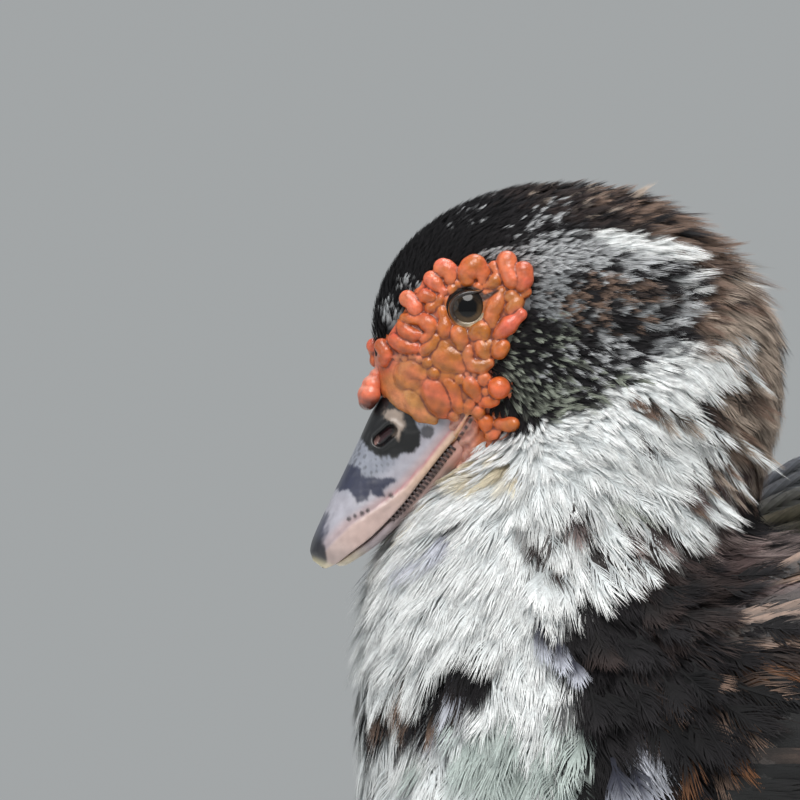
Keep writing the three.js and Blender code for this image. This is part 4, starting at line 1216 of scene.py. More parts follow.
# Tone of the middle of each feather, and the tones its edges are drawn from
SCAPULAR_TONES = {
    "left": ("black", "umber mauve umber brown"),
    # The right side's edges are painted much lighter than the left's: painted light, to make up for the
    # shade those feathers lie in.
    "right": ("umber", "white cream white lavender"),
}
POINTED = dict(FIRM, taper=1.3, barbs=40, sweep=0.16, fringe=0, ragged=0.06, cover=3, root_shade=0.95)


def facing_up(places, tilt):
    """The lines of some feathers, each turned aside from straight up by its tilt."""
    facing = np.stack([np.zeros(len(tilt)), np.sin(tilt), np.cos(tilt)], -1)
    return np.stack(places, 1), np.repeat(facing[:, None], 3, axis=1)


def scapular_lines(side, word, draw):
    t = np.linspace(0, 1, SCAPULARS)
    root_x = mix(30, 50, t)
    root_z = mix(232, 246, t)
    reach = SCAPULAR_REACH * (1 - 0.08 * np.abs(2 * t - 1)) * draw.uniform(0.94, 1.03, SCAPULARS)
    arch = ARCH[word] * mix(0.3, 1, t)
    tilt = mix(0.9, 0.5, t)
    places = []
    for at in (0, 0.5, 1):
        x = root_x + reach * at
        lift = mix(-VANE_SINK, 5, min(1, at * 3))
        z = root_z + 6 * at + arch * math.sin(math.pi * at**0.8)
        on_shell = np.minimum(z, wing_centre(x) + 0.93 * wing_high(x))
        spot = wing_point(x, on_shell, lift, side)
        spot[:, 2] = z
        places.append(spot)
    return facing_up(places, side * tilt)


for side, word in SIDES:
    draw = np.random.default_rng(31)
    lines = scapular_lines(side, word, draw)
    middle, edges = SCAPULAR_TONES[word]
    spans, widths = (np.full(SCAPULARS, size, float) for size in (SCAPULAR_REACH, SCAPULAR_HALF_WIDTH))
    stripes = tones_of(draw.choice(edges.split(), SCAPULARS))[1]
    tones = tones_of([middle] * SCAPULARS)
    name = "wing_scapulars_" + word
    wings.append((word, grow(name, POINTED, *lines, spans, widths, *tones, seed=41, stripes=stripes)))
print("long feathers a shoulder:", SCAPULARS)

# %% Tail fan and its coverts
TAIL = {"z": 213, "spread": 19, "fan": 0.24, "slope": -0.1, "roof": 6.5, "tilt": 0.34}
# Layer, feathers, root, reach, half width, spread share, lift at the root and at the tip
TAIL_LAYERS = [
    ("tail_feathers", 14, 352, 146, 13, 1, 0, 0),
    ("tail_upper_coverts", 11, 332, 84, 12, 0.95, 7, 2.5),
    ("tail_middle_coverts", 9, 316, 62, 12, 0.95, 14, 7),
]


def tail_lines(spread, root_x, reach, lifts):
    angle = spread * TAIL["fan"]
    places = []
    for at, lift in zip((0, 0.5, 1), lifts):
        run = reach * at
        x = root_x + run * np.cos(angle)
        y = spread * TAIL["spread"] + run * np.sin(angle)
        z = TAIL["z"] - TAIL["roof"] * spread**2 + run * TAIL["slope"] + lift
        places.append(np.stack([x, y, z], -1))
    return facing_up(places, TAIL["tilt"] * spread)


tail_pieces = []
for row, (layer, count, root_x, reach, half, share, lift_root, lift_tip) in enumerate(TAIL_LAYERS):
    draw = np.random.default_rng(60 + row)
    spread = np.linspace(-1, 1, count)
    reaches = reach * (1 - 0.2 * spread**2) + draw.normal(0, 1, count)
    lifts = [5 * (1 - np.abs(spread)) + mix(lift_root, lift_tip, at) for at in (0, 0.5, 1)]
    lines = tail_lines(spread * share, root_x, reaches, lifts)
    style = FIRM if row == 0 else dict(FIRM, barbs=30, sweep=0.22, ragged=0.08, cover=2.8)
    widths = np.full(count, float(half))
    tones = tones_of(["flight"] * count)
    tail_pieces.append(grow(layer, style, *lines, reaches, widths, *tones, seed=70 + row))
print("layers of the tail:", len(tail_pieces))

# %% [markdown]
# ## The bare face
# Round the eye a muscovy has no feathers but knobbly skin: chains of round and worm-shaped bulbs,
# pressed together with sharp creases between them. Sculpting each by hand is the usual way.
# Here each bulb is a chain of spheres set on the head, a pad of bare skin lies under them, and a fine
# voxel remesh fuses all of it. Creases stay deep because the voxels are far smaller than the bulbs.

# %% Chains of bulbs
# Tone, how far they stand out, and points as seen from the left: back, up, radius
BULBS = [
    ("coral", 0.2, [(-10.5, 8, 1.8), (-8.6, 6, 1.8), (-6.8, 4.2, 1.7)]),
    ("coral", 0.25, [(-7, 11.1, 2.3), (-4.7, 10, 2.2), (-4.9, 7.9, 1.9)]),
    ("orange", 0.1, [(-2.7, 6.5, 1.3)]),
    ("orange", 0.25, [
        (0.3, 6.9, 1.7), (-0.2, 9.8, 2.5), (2.4, 11.5, 2.8), (4.6, 9.6, 2.2), (4.7, 7.6, 1.9),
    ]),
    ("ochre", 0.2, [(8.1, 11.7, 1.8), (9.4, 9.4, 1.9), (8.1, 6.7, 1.7), (5.5, 6.1, 1.4)]),
    ("coral", 0.35, [(12, 13, 3.3), (12.6, 10.4, 3.3), (13.7, 7.4, 3.1)]),
    ("rose", 0.35, [(16.9, 10, 3.4), (17.2, 7.6, 3.2), (16.4, 5.8, 2.4)]),
    ("orange", 0, [(18, 4.2, 1.7), (16.6, 3.3, 1.4)]),
    ("ochre", 0, [(10.3, 4.2, 1.6), (9.1, 1.1, 2), (7.4, -2.3, 2), (7.8, -5.1, 1.5)]),
    ("peach", 0.05, [(13.4, 2.7, 2.2), (15, 1.2, 2.2), (13.3, -0.8, 1.8)]),
    ("rose", 0.15, [(16.2, -2.5, 1.6), (13.7, -4.6, 1.7), (11.3, -6.7, 1.9), (9.2, -8.6, 1.8)]),
    ("orange", 0.15, [(8.8, -10.9, 1.7), (9.6, -13.3, 2.2), (10.9, -11.7, 1.7)]),
    ("ochre", 0, [(2.6, -6.3, 2.2), (5, -6.4, 1.8), (5.2, -8.8, 1.7), (2.4, -8.2, 1.6)]),
    ("ochre", 0, [(4.2, -11.6, 2), (5.5, -13.8, 1.8), (6.6, -11.1, 1.6)]),
    ("ochre", 0, [(-2.7, -7.8, 1.7), (-1.6, -9.8, 2.3), (-1.7, -11.8, 1.6)]),
    ("peach", 0.05, [
        (0.3, -12.3, 1.4), (0.3, -15.3, 1.5), (1.8, -17.5, 1.6), (4.4, -17.8, 1.6), (6.6, -16.7, 1.3),
    ]),
    ("ochre", -0.55, [(-6.8, -12.1, 2), (-7.2, -15.3, 3.2), (-4.3, -16, 3.6), (-2.1, -17.8, 2.2)]),
    ("pink", 0, [(0.3, -20, 0.6)]),
    ("pink", 0, [(2.2, -20.1, 0.6)]),
    ("orange", 0, [(-7.5, -1.1, 1.3), (-6.8, -4.2, 1.6), (-6.6, -7.5, 1.6)]),
    ("orange", -0.1, [(-5.9, 2.1, 0.9), (-5.7, -0.3, 0.8), (-5.5, -3, 0.8)]),
    ("orange", 0.15, [(-7.2, 3.5, 1.3), (-8.3, 1.2, 1.6), (-10.8, -0.5, 1.7)]),
    ("red", 0.25, [(-12.5, 3, 2.1), (-10.3, 2.4, 1.9)]),
    ("coral", 0.3, [(-17.4, 2.1, 1.6), (-15.8, 0.9, 2.2), (-15, -0.9, 1.9)]),
    ("orange", 0.15, [
        (-18.6, -3.4, 1.1), (-16.7, -3.8, 1.3), (-12.7, -4.1, 1.5), (-10.6, -5.9, 1.5), (-11.2, -8.5, 1.5),
        (-12.8, -9.7, 1.1),
    ]),
    ("red", 0.2, [(-19.4, -5.7, 1.3), (-17.9, -7.5, 1.6), (-15.8, -8.6, 1.5), (-13.9, -8.3, 1)]),
    ("ochre", 0.05, [(-9.2, -9.4, 1.4), (-10.4, -11.4, 1.5), (-12.5, -13, 1.1)]),
    ("red", 0.3, [(-24.6, -11.5, 2), (-23.1, -14, 1.7), (-23.7, -15.6, 1.2)]),
    ("red", 0.2, [(-21.4, -9.9, 1.7), (-19, -11.4, 1.7), (-16.6, -12.2, 1.6), (-15.1, -12.2, 1)]),
    ("pink", 0.1, [(-20.6, -14.9, 0.7)]),
    ("pink", 0.1, [(-19.4, -14.3, 0.6)]),
    ("pink", 0.1, [(-18.3, -15.3, 0.7)]),
    ("pink", 0.1, [(-16.4, -14.5, 0.7)]),
    ("pink", 0.1, [(-15.3, -14.5, 0.6)]),
    ("pink", 0.1, [(-13.9, -15.4, 0.9)]),
    ("peach", 0, [(-13.1, -17.2, 1), (-12, -19, 1.3)]),
    ("peach", -0.35, [
        (-13.2, -19.6, 2.5), (-15.8, -18.9, 3.3), (-18.3, -18.4, 2.4), (-18.8, -21.6, 2.7),
        (-15.9, -22.3, 2.4),
    ]),
    ("clay", -0.42, [(-10.7, -23.1, 2.5), (-9.5, -25.7, 4), (-8.3, -28.3, 4), (-7.6, -30.6, 2.6)]),
    ("orange", -0.1, [(-5.5, -22.4, 1.4), (-3.9, -23.9, 1.9), (-3.1, -26.7, 1.8), (-2.3, -29.8, 1.7)]),
    ("orange", 0.05, [(1, -22.7, 2), (2.4, -24.9, 2), (3.5, -27.1, 1.7)]),
    ("orange", 0, [(1.2, -28.1, 1.6), (0.3, -30.8, 1.3)]),
    ("bright", 0.5, [(9.8, -23.7, 3.7)]),
    ("bright", 0.2, [(8.3, -27.7, 2), (6.2, -27.9, 2.1), (4.6, -28.4, 1.5)]),
    ("cream", -0.6, [(-17, -26.1, 2.2), (-15.6, -29, 2.6), (-13.7, -31.9, 2.3), (-10.4, -33.4, 1.8)]),
    ("bright", 0, [(5.8, -34.1, 2), (5.9, -35.7, 1.4)]),
    ("orange", 0, [(9.7, -34.6, 1.8), (12.1, -34.9, 1.7), (13.8, -34.8, 1.1)]),
    ("orange", -0.1, [(6.9, -38.1, 1.5), (9.3, -36.9, 1.5)]),
    ("rim", 0.3, [(0.2, -31.7, 0.4), (-1.5, -34.6, 0.7), (-3.4, -37.8, 0.95), (-5, -40.4, 0.9)]),
]
print("chains in the table:", len(BULBS))

# %% Chains on the side of the head
SEEN_EYE_Y = 22.3
SLANT = math.tan(VIEW_TURN)


def seen_place(back, rise, side):
    """The point on the side of the head for a place as the camera sees it, a little from the front."""
    x = EYE_X + back
    z = EYE_Z + rise
    for _ in range(3):
        spot, face = beside(x, z, side)
        x = EYE_X + back + SLANT * (SEEN_EYE_Y - abs(spot[1]))
    return spot, normals_at(spot[None], np.array([face]))[0]


def chain(points):
    """The points of a chain with more between them, so that its spheres fuse into one worm."""
    made = [points[0]]
    for a, b in zip(points[:-1], points[1:]):
        a, b = np.array(a), np.array(b)
        steps = max(1, math.ceil(np.linalg.norm(b[:2] - a[:2]) / (0.5 * min(a[2], b[2]))))
        made += [tuple(mix(a, b, (i + 1) / steps)) for i in range(steps)]
    return made


chained = [(number, *point) for number, (_, _, points) in enumerate(BULBS) for point in chain(points)]
chain_of = np.array([item[0] for item in chained])
disks = np.array([item[1:] for item in chained], float)
print("chains:", len(BULBS), "spheres a side:", len(disks))

# %% Swell the bulbs until they press together
EYE_DISKS = np.array([(0, 0, 5.7), (5.2, 3, 1.9), (7.2, 4.2, 1.4), (8.5, 4.9, 0.7)])
PRESS = 0.75
GROW_MOST = 1.1
FILL_FROM = 0.75
# Places that stay smooth, with no beads between the bulbs
PLAIN_DISKS = np.array([
    (-23.5, -21, 3.4), (-21.5, -26, 3), (-1.5, -35.5, 2.4), (8.5, -30.5, 2.2), (12, -20, 2),
])


def room_round(disk, others):
    return np.hypot(*(others[:, :2] - disk[:2]).T) - others[:, 2] - disk[2]


swollen = disks.copy()
for number, disk in enumerate(disks):
    strangers = np.concatenate([disks[chain_of != chain_of[number]], EYE_DISKS])
    gap = room_round(disk, strangers).min()
    if BULBS[chain_of[number]][0] == "rim":
        continue
    swollen[number, 2] += 0.2 if gap > 2.4 else np.clip((gap + PRESS) / 2, -0.3, GROW_MOST)
for disk in swollen:
    reach = math.hypot(*disk[:2])
    short = EYE_DISKS[0, 2] - 0.3 + disk[2] - reach
    if short > 0:
        disk[:2] *= (reach + short) / reach

grid = np.stack(np.meshgrid(np.arange(-26, 20, 0.6), np.arange(-40, 14, 0.6)), -1).reshape(-1, 2)
grid = grid[outline_distance(grid, BARE_FACE) < -0.7]
beads = np.zeros((0, 3))
for _ in range(160):
    blocks = np.concatenate([swollen, EYE_DISKS, PLAIN_DISKS, beads])
    room = (np.linalg.norm(grid[:, None] - blocks[:, :2], axis=2) - blocks[:, 2]).min(1)
    best = room.argmax()
    if room[best] < FILL_FROM:
        break
    beads = np.concatenate([beads, [(*grid[best], min(room[best] + 0.9, 2.6))]])
print("beads between the bulbs:", len(beads))

# %% Spheres on the skin
SKIN_TONES = {
    "coral": linear(230, 118, 84),
    "rose": linear(206, 86, 64),
    "red": linear(196, 82, 48),
    "orange": linear(194, 98, 38),
    "bright": linear(222, 100, 42),
    "ochre": linear(174, 102, 34),
    "gold": linear(180, 106, 34),
    "clay": linear(184, 90, 50),
    "rim": linear(240, 206, 188),
    "peach": linear(184, 114, 62),
    "pink": linear(210, 142, 116),
    "cream": linear(190, 138, 82),
}
# How far a sphere stands out, below which its rise and its flatness are these
FLATNESS = [(-1, -0.06, 0.42), (-0.3, -0.05, 0.5), (-0.1, -0.05, 0.7), (0.06, 0.05, 0.85), (0.5, 0.4, 1)]
PAD_THICK = 0.25

balls = {}
for side in (-1, 1):
    draw = np.random.default_rng(5 if side < 0 else 6)
    rows = []
    for number, disk in enumerate(swollen):
        tone_name, proud, _ = BULBS[chain_of[number]]
        rows.append((tone_name, proud, *disk))
    for back, rise, radius in beads:
        tone_name = "pink" if draw.uniform() < 0.04 else ("ochre" if back > -12 else "orange")
        rows.append((tone_name, 0.0, back, rise, radius))
    made = []
    for tone_name, proud, back, rise, radius in rows:
        stray = draw.normal(0, 0.0 if side < 0 else 0.3, 2)
        spot, facing = seen_place(back + stray[0], rise + stray[1], side)
        proud_table, lift_table, flat_table = np.array(FLATNESS).T
        lift = np.interp(proud, proud_table, lift_table)
        flat = np.interp(proud, proud_table, flat_table)
        centre = spot + facing * (PAD_THICK + lift * radius)
        made.append((tone_name, *centre, *facing, radius, flat))
    balls[side] = made
print("spheres a side:", len(balls[-1]))

# %% Pad of bare skin below the bulbs
PAD_OVERLAP = 1.6
PAD_RISE = 0.75
FACE_VOXEL_MM = 0.31
HIDDEN_MM = 1.3

sphere_piece, unit = sphere_points(24, 14)
unit_faces = [tuple(face.vertices) for face in sphere_piece.data.polygons]
unit_quads = np.array([face for face in unit_faces if len(face) == 4])
unit_tris = np.array([face for face in unit_faces if len(face) == 3])
bpy.data.objects.remove(sphere_piece)


def spheres_piece(name, centres, radii, facings=None, flats=None):
    points = unit * np.reshape(radii, (-1, 1, 1))
    if facings is not None:
        outward = (points @ facings[:, :, None])[..., 0] * (1 - np.reshape(flats, (-1, 1)))
        points = points - outward[..., None] * facings[:, None]
    points = (centres[:, None] + points).reshape(-1, 3)
    starts = np.arange(len(centres))[:, None, None] * len(unit)
    quads_here = (starts + unit_quads).reshape(-1, 4)
    return mesh_piece(name, points, quads_here, (starts + unit_tris).reshape(-1, 3))


def skin_pad(name, side):
    on_pad = (bare[quads].min(1) < PAD_OVERLAP) & (flesh[quads][:, :, 1].mean(1) * side > -1.5)
    used, picked_quads = np.unique(quads[on_pad], return_inverse=True)
    height = mix(PAD_RISE, -1.6, smooth(bare[used], -2, 0.6))
    points = flesh[used] + flesh_normals[used] * height[:, None]
    piece = mesh_piece(name, points, picked_quads.reshape(-1, 4))
    apply(piece, "SUBSURF", levels=2, render_levels=2)
    apply(piece, "SOLIDIFY", thickness=3 * MM, offset=-1)
    return piece


def fused(pieces, name, voxel, easing):
    only(*pieces)
    bpy.ops.object.join()
    piece = pieces[0]
    piece.name = name
    apply(piece, "REMESH", mode="VOXEL", voxel_size=voxel * MM)
    apply(piece, "SMOOTH", factor=0.5, iterations=easing)
    return smooth_shaded(piece)


def drop_hidden(piece, deep):
    """Deletes the faces that lie deeper than this below the body's surface, where nobody sees them."""
    spots = vertices_of(piece)[0]
    under = np.zeros(len(spots))
    for number, spot in enumerate(spots.tolist()):
        near, facing, _, gap = surface.find_nearest(spot)
        under[number] = gap if (Vector(spot) - near).dot(facing) < 0 else 0
    corners = np.zeros(len(piece.data.polygons) * 4, int)
    piece.data.polygons.foreach_get("vertices", corners)
    edit_all(piece, bpy.ops.mesh.select_all, action="DESELECT")
    piece.data.polygons.foreach_set("select", under[corners.reshape(-1, 4)].min(1) > deep)
    only(piece)
    bpy.ops.object.mode_set(mode="EDIT")
    bpy.ops.mesh.delete(type="FACE")
    bpy.ops.object.mode_set(mode="OBJECT")


faces_bare = {}
for side, word in SIDES:
    table = np.array([ball[1:] for ball in balls[side]])
    bulbs = spheres_piece("bulbs_" + word, table[:, :3], table[:, 6], table[:, 3:6], table[:, 7])
    piece = fused([skin_pad("pad_" + word, side), bulbs], "bare_face_" + word, FACE_VOXEL_MM, 1)
    drop_hidden(piece, HIDDEN_MM)
    faces_bare[side] = piece
    print(word, "bare face:", len(piece.data.polygons), "faces")

# %% Tones of the bare skin
# Colour of the painted shade in the creases between the bulbs
CREASE_SHADE = linear(104, 36, 18)
LID_CORNER = np.array((9.2, 4.6))


def seen_from_left(points):
    """Back and up from the eye as the camera sees them."""
    back = points[:, 0] - EYE_X - SLANT * (SEEN_EYE_Y - np.abs(points[:, 1]))
    return np.stack([back, points[:, 2] - EYE_Z], -1)


def hollows(piece, places, normals, rounds):
    """How far each point lies below its neighbours, in millimetres, spread over some rounds."""
    edges = np.zeros(len(piece.data.edges) * 2, int)
    piece.data.edges.foreach_get("vertices", edges)
    a, b = edges.reshape(-1, 2).T
    count = np.bincount(np.concatenate([a, b]), minlength=len(places))
    level = places
    for _ in range(rounds):
        sums = [
            np.bincount(a, level[b, axis], len(places)) + np.bincount(b, level[a, axis], len(places))
            for axis in range(3)
        ]
        level = np.stack(sums, -1) / np.maximum(count, 1)[:, None]
    return ((level - places) * normals).sum(1)


print("corner of the lids, from the pupil (mm):", np.linalg.norm(LID_CORNER).round(1))

# %% Paint the bare skin
for side, piece in faces_bare.items():
    places_now, normals_now = vertices_of(piece)
    hollow = hollows(piece, places_now, normals_now, 6)
    table = np.array([ball[1:] for ball in balls[side]])
    ball_tones = np.array([SKIN_TONES[ball[0]] for ball in balls[side]])
    tint = np.zeros((len(places_now), 3))
    for start in range(0, len(places_now), 4000):
        block = places_now[start : start + 4000]
        gap = np.linalg.norm(block[:, None] - table[:, :3], axis=2) - table[:, 6]
        pull = np.exp(-np.clip(gap, -1.5, 8) * 1.7)
        tint[start : start + 4000] = pull @ ball_tones / pull.sum(1)[:, None]
    blush = smooth(ripple(places_now, 7), -0.5, 0.9)
    tint = mix(tint, toned(SKIN_TONES["gold"], SKIN_TONES["coral"], blush), 0.4)
    variety = 0.5 + 0.5 * ripple(places_now, 3.1)
    tint = tint * mix(0.86, 1.1, variety)[:, None]
    # Painted light: tops of the bulbs are tinted pinker and bluer, as a painted reflection of the sky, and
    # their undersides darker and more orange, as painted shade.
    tint = toned(tint, tint * (1.02, 0.92, 1.2), 0.8 * smooth(normals_now[:, 2], 0.1, 0.9))
    tint = toned(tint, tint * (0.94, 0.86, 0.6), smooth(-normals_now[:, 2], 0.0, 0.9))
    # Hollows between the bulbs are painted dark red-brown: painted shade in the creases.
    tint = toned(tint, CREASE_SHADE, 0.92 * smooth(hollow, 0.01, 0.13))
    seen = seen_from_left(places_now)
    # Painted shadow: the skin just above the eye is painted near black, as shade under the brow bulbs, and
    # this runs on into the real dark skin at the rear corner of the lids.
    brow = smooth(np.hypot(seen[:, 0] - 0.4, seen[:, 1]), 6.3, 5.7) * smooth(seen[:, 1], 1.5, 3)
    corner_line = np.clip(seen @ LID_CORNER / (LID_CORNER @ LID_CORNER), 0.4, 1)
    to_corner = np.linalg.norm(seen - corner_line[:, None] * LID_CORNER, axis=1)
    brow = np.maximum(brow, smooth(to_corner, mix(2, 0.6, corner_line), mix(1.1, 0.1, corner_line)))
    tint = toned(tint, linear(30, 20, 18), 0.93 * brow)
    paint(piece, "tint", np.clip(tint, 0, 1))
    print("hollows from", hollow.min().round(2), "to", hollow.max().round(2), "mm")

# %% Knob at the root of the bill
# Points back and up from the eye, and a radius
KNOB = [(-25.4, -26, 3.5), (-24.6, -23.2, 3), (-25.9, -28, 2.7), (-23.2, -20.4, 2.2), (-22, -18.4, 1.7)]
KNOB_SIDES = (-1.2, -0.6, 0, 0.6, 1.2)
# Tones of the painted highlight on top of the knob and the painted shade below it
KNOB_HIGHLIGHT_AND_SHADE = {"top": linear(240, 176, 156), "low": linear(56, 30, 28)}
knob_rows = [
    (EYE_X + back, aside * radius * 0.6, EYE_Z + rise, radius * (1 - 0.1 * abs(aside)))
    for back, rise, radius in KNOB
    for aside in KNOB_SIDES
]
knob_rows = np.array(knob_rows)
knob = spheres_piece("knob", knob_rows[:, :3], knob_rows[:, 3])
apply(knob, "REMESH", mode="VOXEL", voxel_size=0.3 * MM)
apply(knob, "SMOOTH", factor=0.5, iterations=14)
smooth_shaded(knob)
places_now, normals_now = vertices_of(knob)
# Painted light: the knob's lower end is painted near black as painted shade, and its top pale pink as a
# painted highlight.
knob_shade = smooth(places_now[:, 2] - EYE_Z, -25, -29) * smooth(-normals_now[:, 2], -0.3, 0.5)
knob_highlight = smooth(normals_now[:, 2], 0.1, 0.9)
knob_tint = toned(SKIN_TONES["coral"], KNOB_HIGHLIGHT_AND_SHADE["top"], 0.6 * knob_highlight)
knob_tint = toned(knob_tint, KNOB_HIGHLIGHT_AND_SHADE["low"], 0.88 * knob_shade)
paint(knob, "tint", knob_tint)
print("knob:", len(knob.data.polygons), "faces")

# %% [markdown]
# ## Shared effects for the finishes
# Skin, bill and feet all need fine pores and a wandering mottle. Copying those nodes into every
# material is quick once and slow ever after, so each effect is a node group with named inputs.
# One group puts out a colour that wanders darker and lighter, the other a normal with fine relief.

# %% Helpers for node groups
def group_of(name, inputs, output):
    group = bpy.data.node_groups.new(name, "ShaderNodeTree")
    for label, kind, value in inputs:
        socket = group.interface.new_socket(name=label, in_out="INPUT", socket_type=kind)
        if value is not None:
            socket.default_value = value
    group.interface.new_socket(name=output[0], in_out="OUTPUT", socket_type=output[1])
    return group, group.nodes.new("NodeGroupInput"), group.nodes.new("NodeGroupOutput")


def place_and_noise(group, entry, detail):
    place = group.nodes.new("ShaderNodeTexCoord")
    noise = group.nodes.new("ShaderNodeTexNoise")
    noise.inputs["Detail"].default_value = detail
    group.links.new(place.outputs["Object"], noise.inputs["Vector"])
    group.links.new(entry.outputs["Scale"], noise.inputs["Scale"])
    return noise


print("node groups before:", len(bpy.data.node_groups))

# %% Node groups for mottle and fine relief
mottle, entry, leave = group_of(
    "mottle",
    [
        ("Color", "NodeSocketColor", None),
        ("Scale", "NodeSocketFloat", 500.0),
        ("Depth", "NodeSocketFloat", 0.3),
    ],
    ("Color", "NodeSocketColor"),
)
noise = place_and_noise(mottle, entry, 4)
darker = mottle.nodes.new("ShaderNodeMix")
darker.data_type = "RGBA"
darker.blend_type = "MULTIPLY"
shade = mottle.nodes.new("ShaderNodeValToRGB")
shade.color_ramp.elements[0].position = 0.35
shade.color_ramp.elements[1].position = 0.62
shade.color_ramp.elements[0].color = (0.35, 0.32, 0.32, 1)
shade.color_ramp.elements[1].color = (1.12, 1.12, 1.12, 1)
mottle.links.new(noise.outputs["Fac"], shade.inputs["Fac"])
mottle.links.new(entry.outputs["Depth"], darker.inputs["Factor"])
mottle.links.new(entry.outputs["Color"], darker.inputs["A"])
mottle.links.new(shade.outputs["Color"], darker.inputs["B"])
mottle.links.new(darker.outputs["Result"], leave.inputs["Color"])

pores, entry, leave = group_of(
    "pores",
    [("Scale", "NodeSocketFloat", 1500.0), ("Strength", "NodeSocketFloat", 0.3)],
    ("Normal", "NodeSocketVector"),
)
noise = place_and_noise(pores, entry, 3)
relief = pores.nodes.new("ShaderNodeBump")
relief.inputs["Distance"].default_value = 0.0004
pores.links.new(entry.outputs["Strength"], relief.inputs["Strength"])
pores.links.new(noise.outputs["Fac"], relief.inputs["Height"])
pores.links.new(relief.outputs["Normal"], leave.inputs["Normal"])

print("node groups:", ", ".join(group.name for group in bpy.data.node_groups))


# %% Finishes that read a painted layer
def tinted_finish(name, layer, mottles, bumps, **sockets):
    """A material that reads a painted layer, with the mottle and the relief of the two groups."""
    material, nodes, links, shader = finish_of(name, **sockets)
    painted = nodes.new("ShaderNodeVertexColor")
    painted.layer_name = layer
    colour = nodes.new("ShaderNodeGroup")
    colour.node_tree = mottle
    colour.inputs["Scale"].default_value = mottles[0]
    colour.inputs["Depth"].default_value = mottles[1]
    links.new(painted.outputs["Color"], colour.inputs["Color"])
    links.new(colour.outputs["Color"], shader.inputs["Base Color"])
    fine = nodes.new("ShaderNodeGroup")
    fine.node_tree = pores
    fine.inputs["Scale"].default_value = bumps[0]
    fine.inputs["Strength"].default_value = bumps[1]
    links.new(fine.outputs["Normal"], shader.inputs["Normal"])
    return material


def finished(piece, material, slot, *nodes):
    piece.data.materials.clear()
    piece.data.materials.append(material)
    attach(piece, "root")
    if nodes:
        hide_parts(*nodes)


skin_finish = tinted_finish(
    "moist_bare_skin", "tint", (420, 0.35), (1300, 0.5), Roughness=0.34, Coat_Weight=0.3,
    Coat_Roughness=0.16, Subsurface_Weight=0.15, Subsurface_Radius=(1, 0.35, 0.15), Subsurface_Scale=0.0009,
)
for side, word in SIDES:
    finished(faces_bare[side], skin_finish, "caruncle", "caruncles_" + word)
finished(knob, skin_finish, "caruncle", "forehead_knob")
print("materials:", ", ".join(material.name for material in bpy.data.materials))

# %% [markdown]
# ## Eyes and lids
# The eye is a glossy dark ball that shows through an almond opening, a little wider than the iris.
# A sphere with its colours painted round the gaze gives the pupil and iris at any angle of view.
# The lids are one soft ring that hugs the ball and runs out into a dark point at the back.

# %% Eyeballs
EYE_RADIUS = 8.4
PUPIL_MM = 2.9
IRIS_MM = 4.6
GAZE = (-0.16, 0.985, 0.06)
eyeballs = {}
eye_centres = {}
gazes = {side: unit_of(np.array(GAZE) * (1, side, 1)) for side in (-1, 1)}
for side, word in SIDES:
    low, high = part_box("eye_" + word)
    eye_centres[side] = to_local((low + high) / 2)
    piece, unit_ball = sphere_points(96, 64)
    piece.name = "eyeball_" + word
    move_points(piece, eye_centres[side] + unit_ball * EYE_RADIUS)
    smooth_shaded(piece)
    off = np.degrees(np.arccos(np.clip(unit_ball @ gazes[side], -1, 1)))
    pupil_edge = math.degrees(math.asin(PUPIL_MM / EYE_RADIUS))
    iris_edge = math.degrees(math.asin(IRIS_MM / EYE_RADIUS))
    streak = 0.5 + 0.5 * ripple(unit_ball * EYE_RADIUS, 0.9)
    lower = smooth(unit_ball[:, 0] * 0.5 - unit_ball[:, 2], -0.3, 0.45)
    iris = toned(linear(22, 16, 12), linear(90, 70, 46), 0.2 * streak + 0.7 * lower)
    tint = toned(iris, linear(18, 14, 12), smooth(off, iris_edge - 4, iris_edge))
    tint = toned(linear(5, 5, 6), tint, smooth(off, pupil_edge - 1.5, pupil_edge + 2))
    paint(piece, "tint", tint)
    eyeballs[side] = piece
    print(word, "eye at", eye_centres[side].round(1))

eye_finish, nodes, links, shader = finish_of("wet_eye", Roughness=0.08, Specular_IOR_Level=0.3)
painted = nodes.new("ShaderNodeVertexColor")
painted.layer_name = "tint"
links.new(painted.outputs["Color"], shader.inputs["Base Color"])
for side, word in SIDES:
    finished(eyeballs[side], eye_finish, "eye", "eye_" + word)

# %% Lids as a ring that hugs the ball
LID = {
    "long": 4.75, "high": 4.7, "corner": 4.6, "corner_at": 27, "corner_width": 24,
    "hood": 0.9, "hood_at": 115, "hood_width": 48,
}
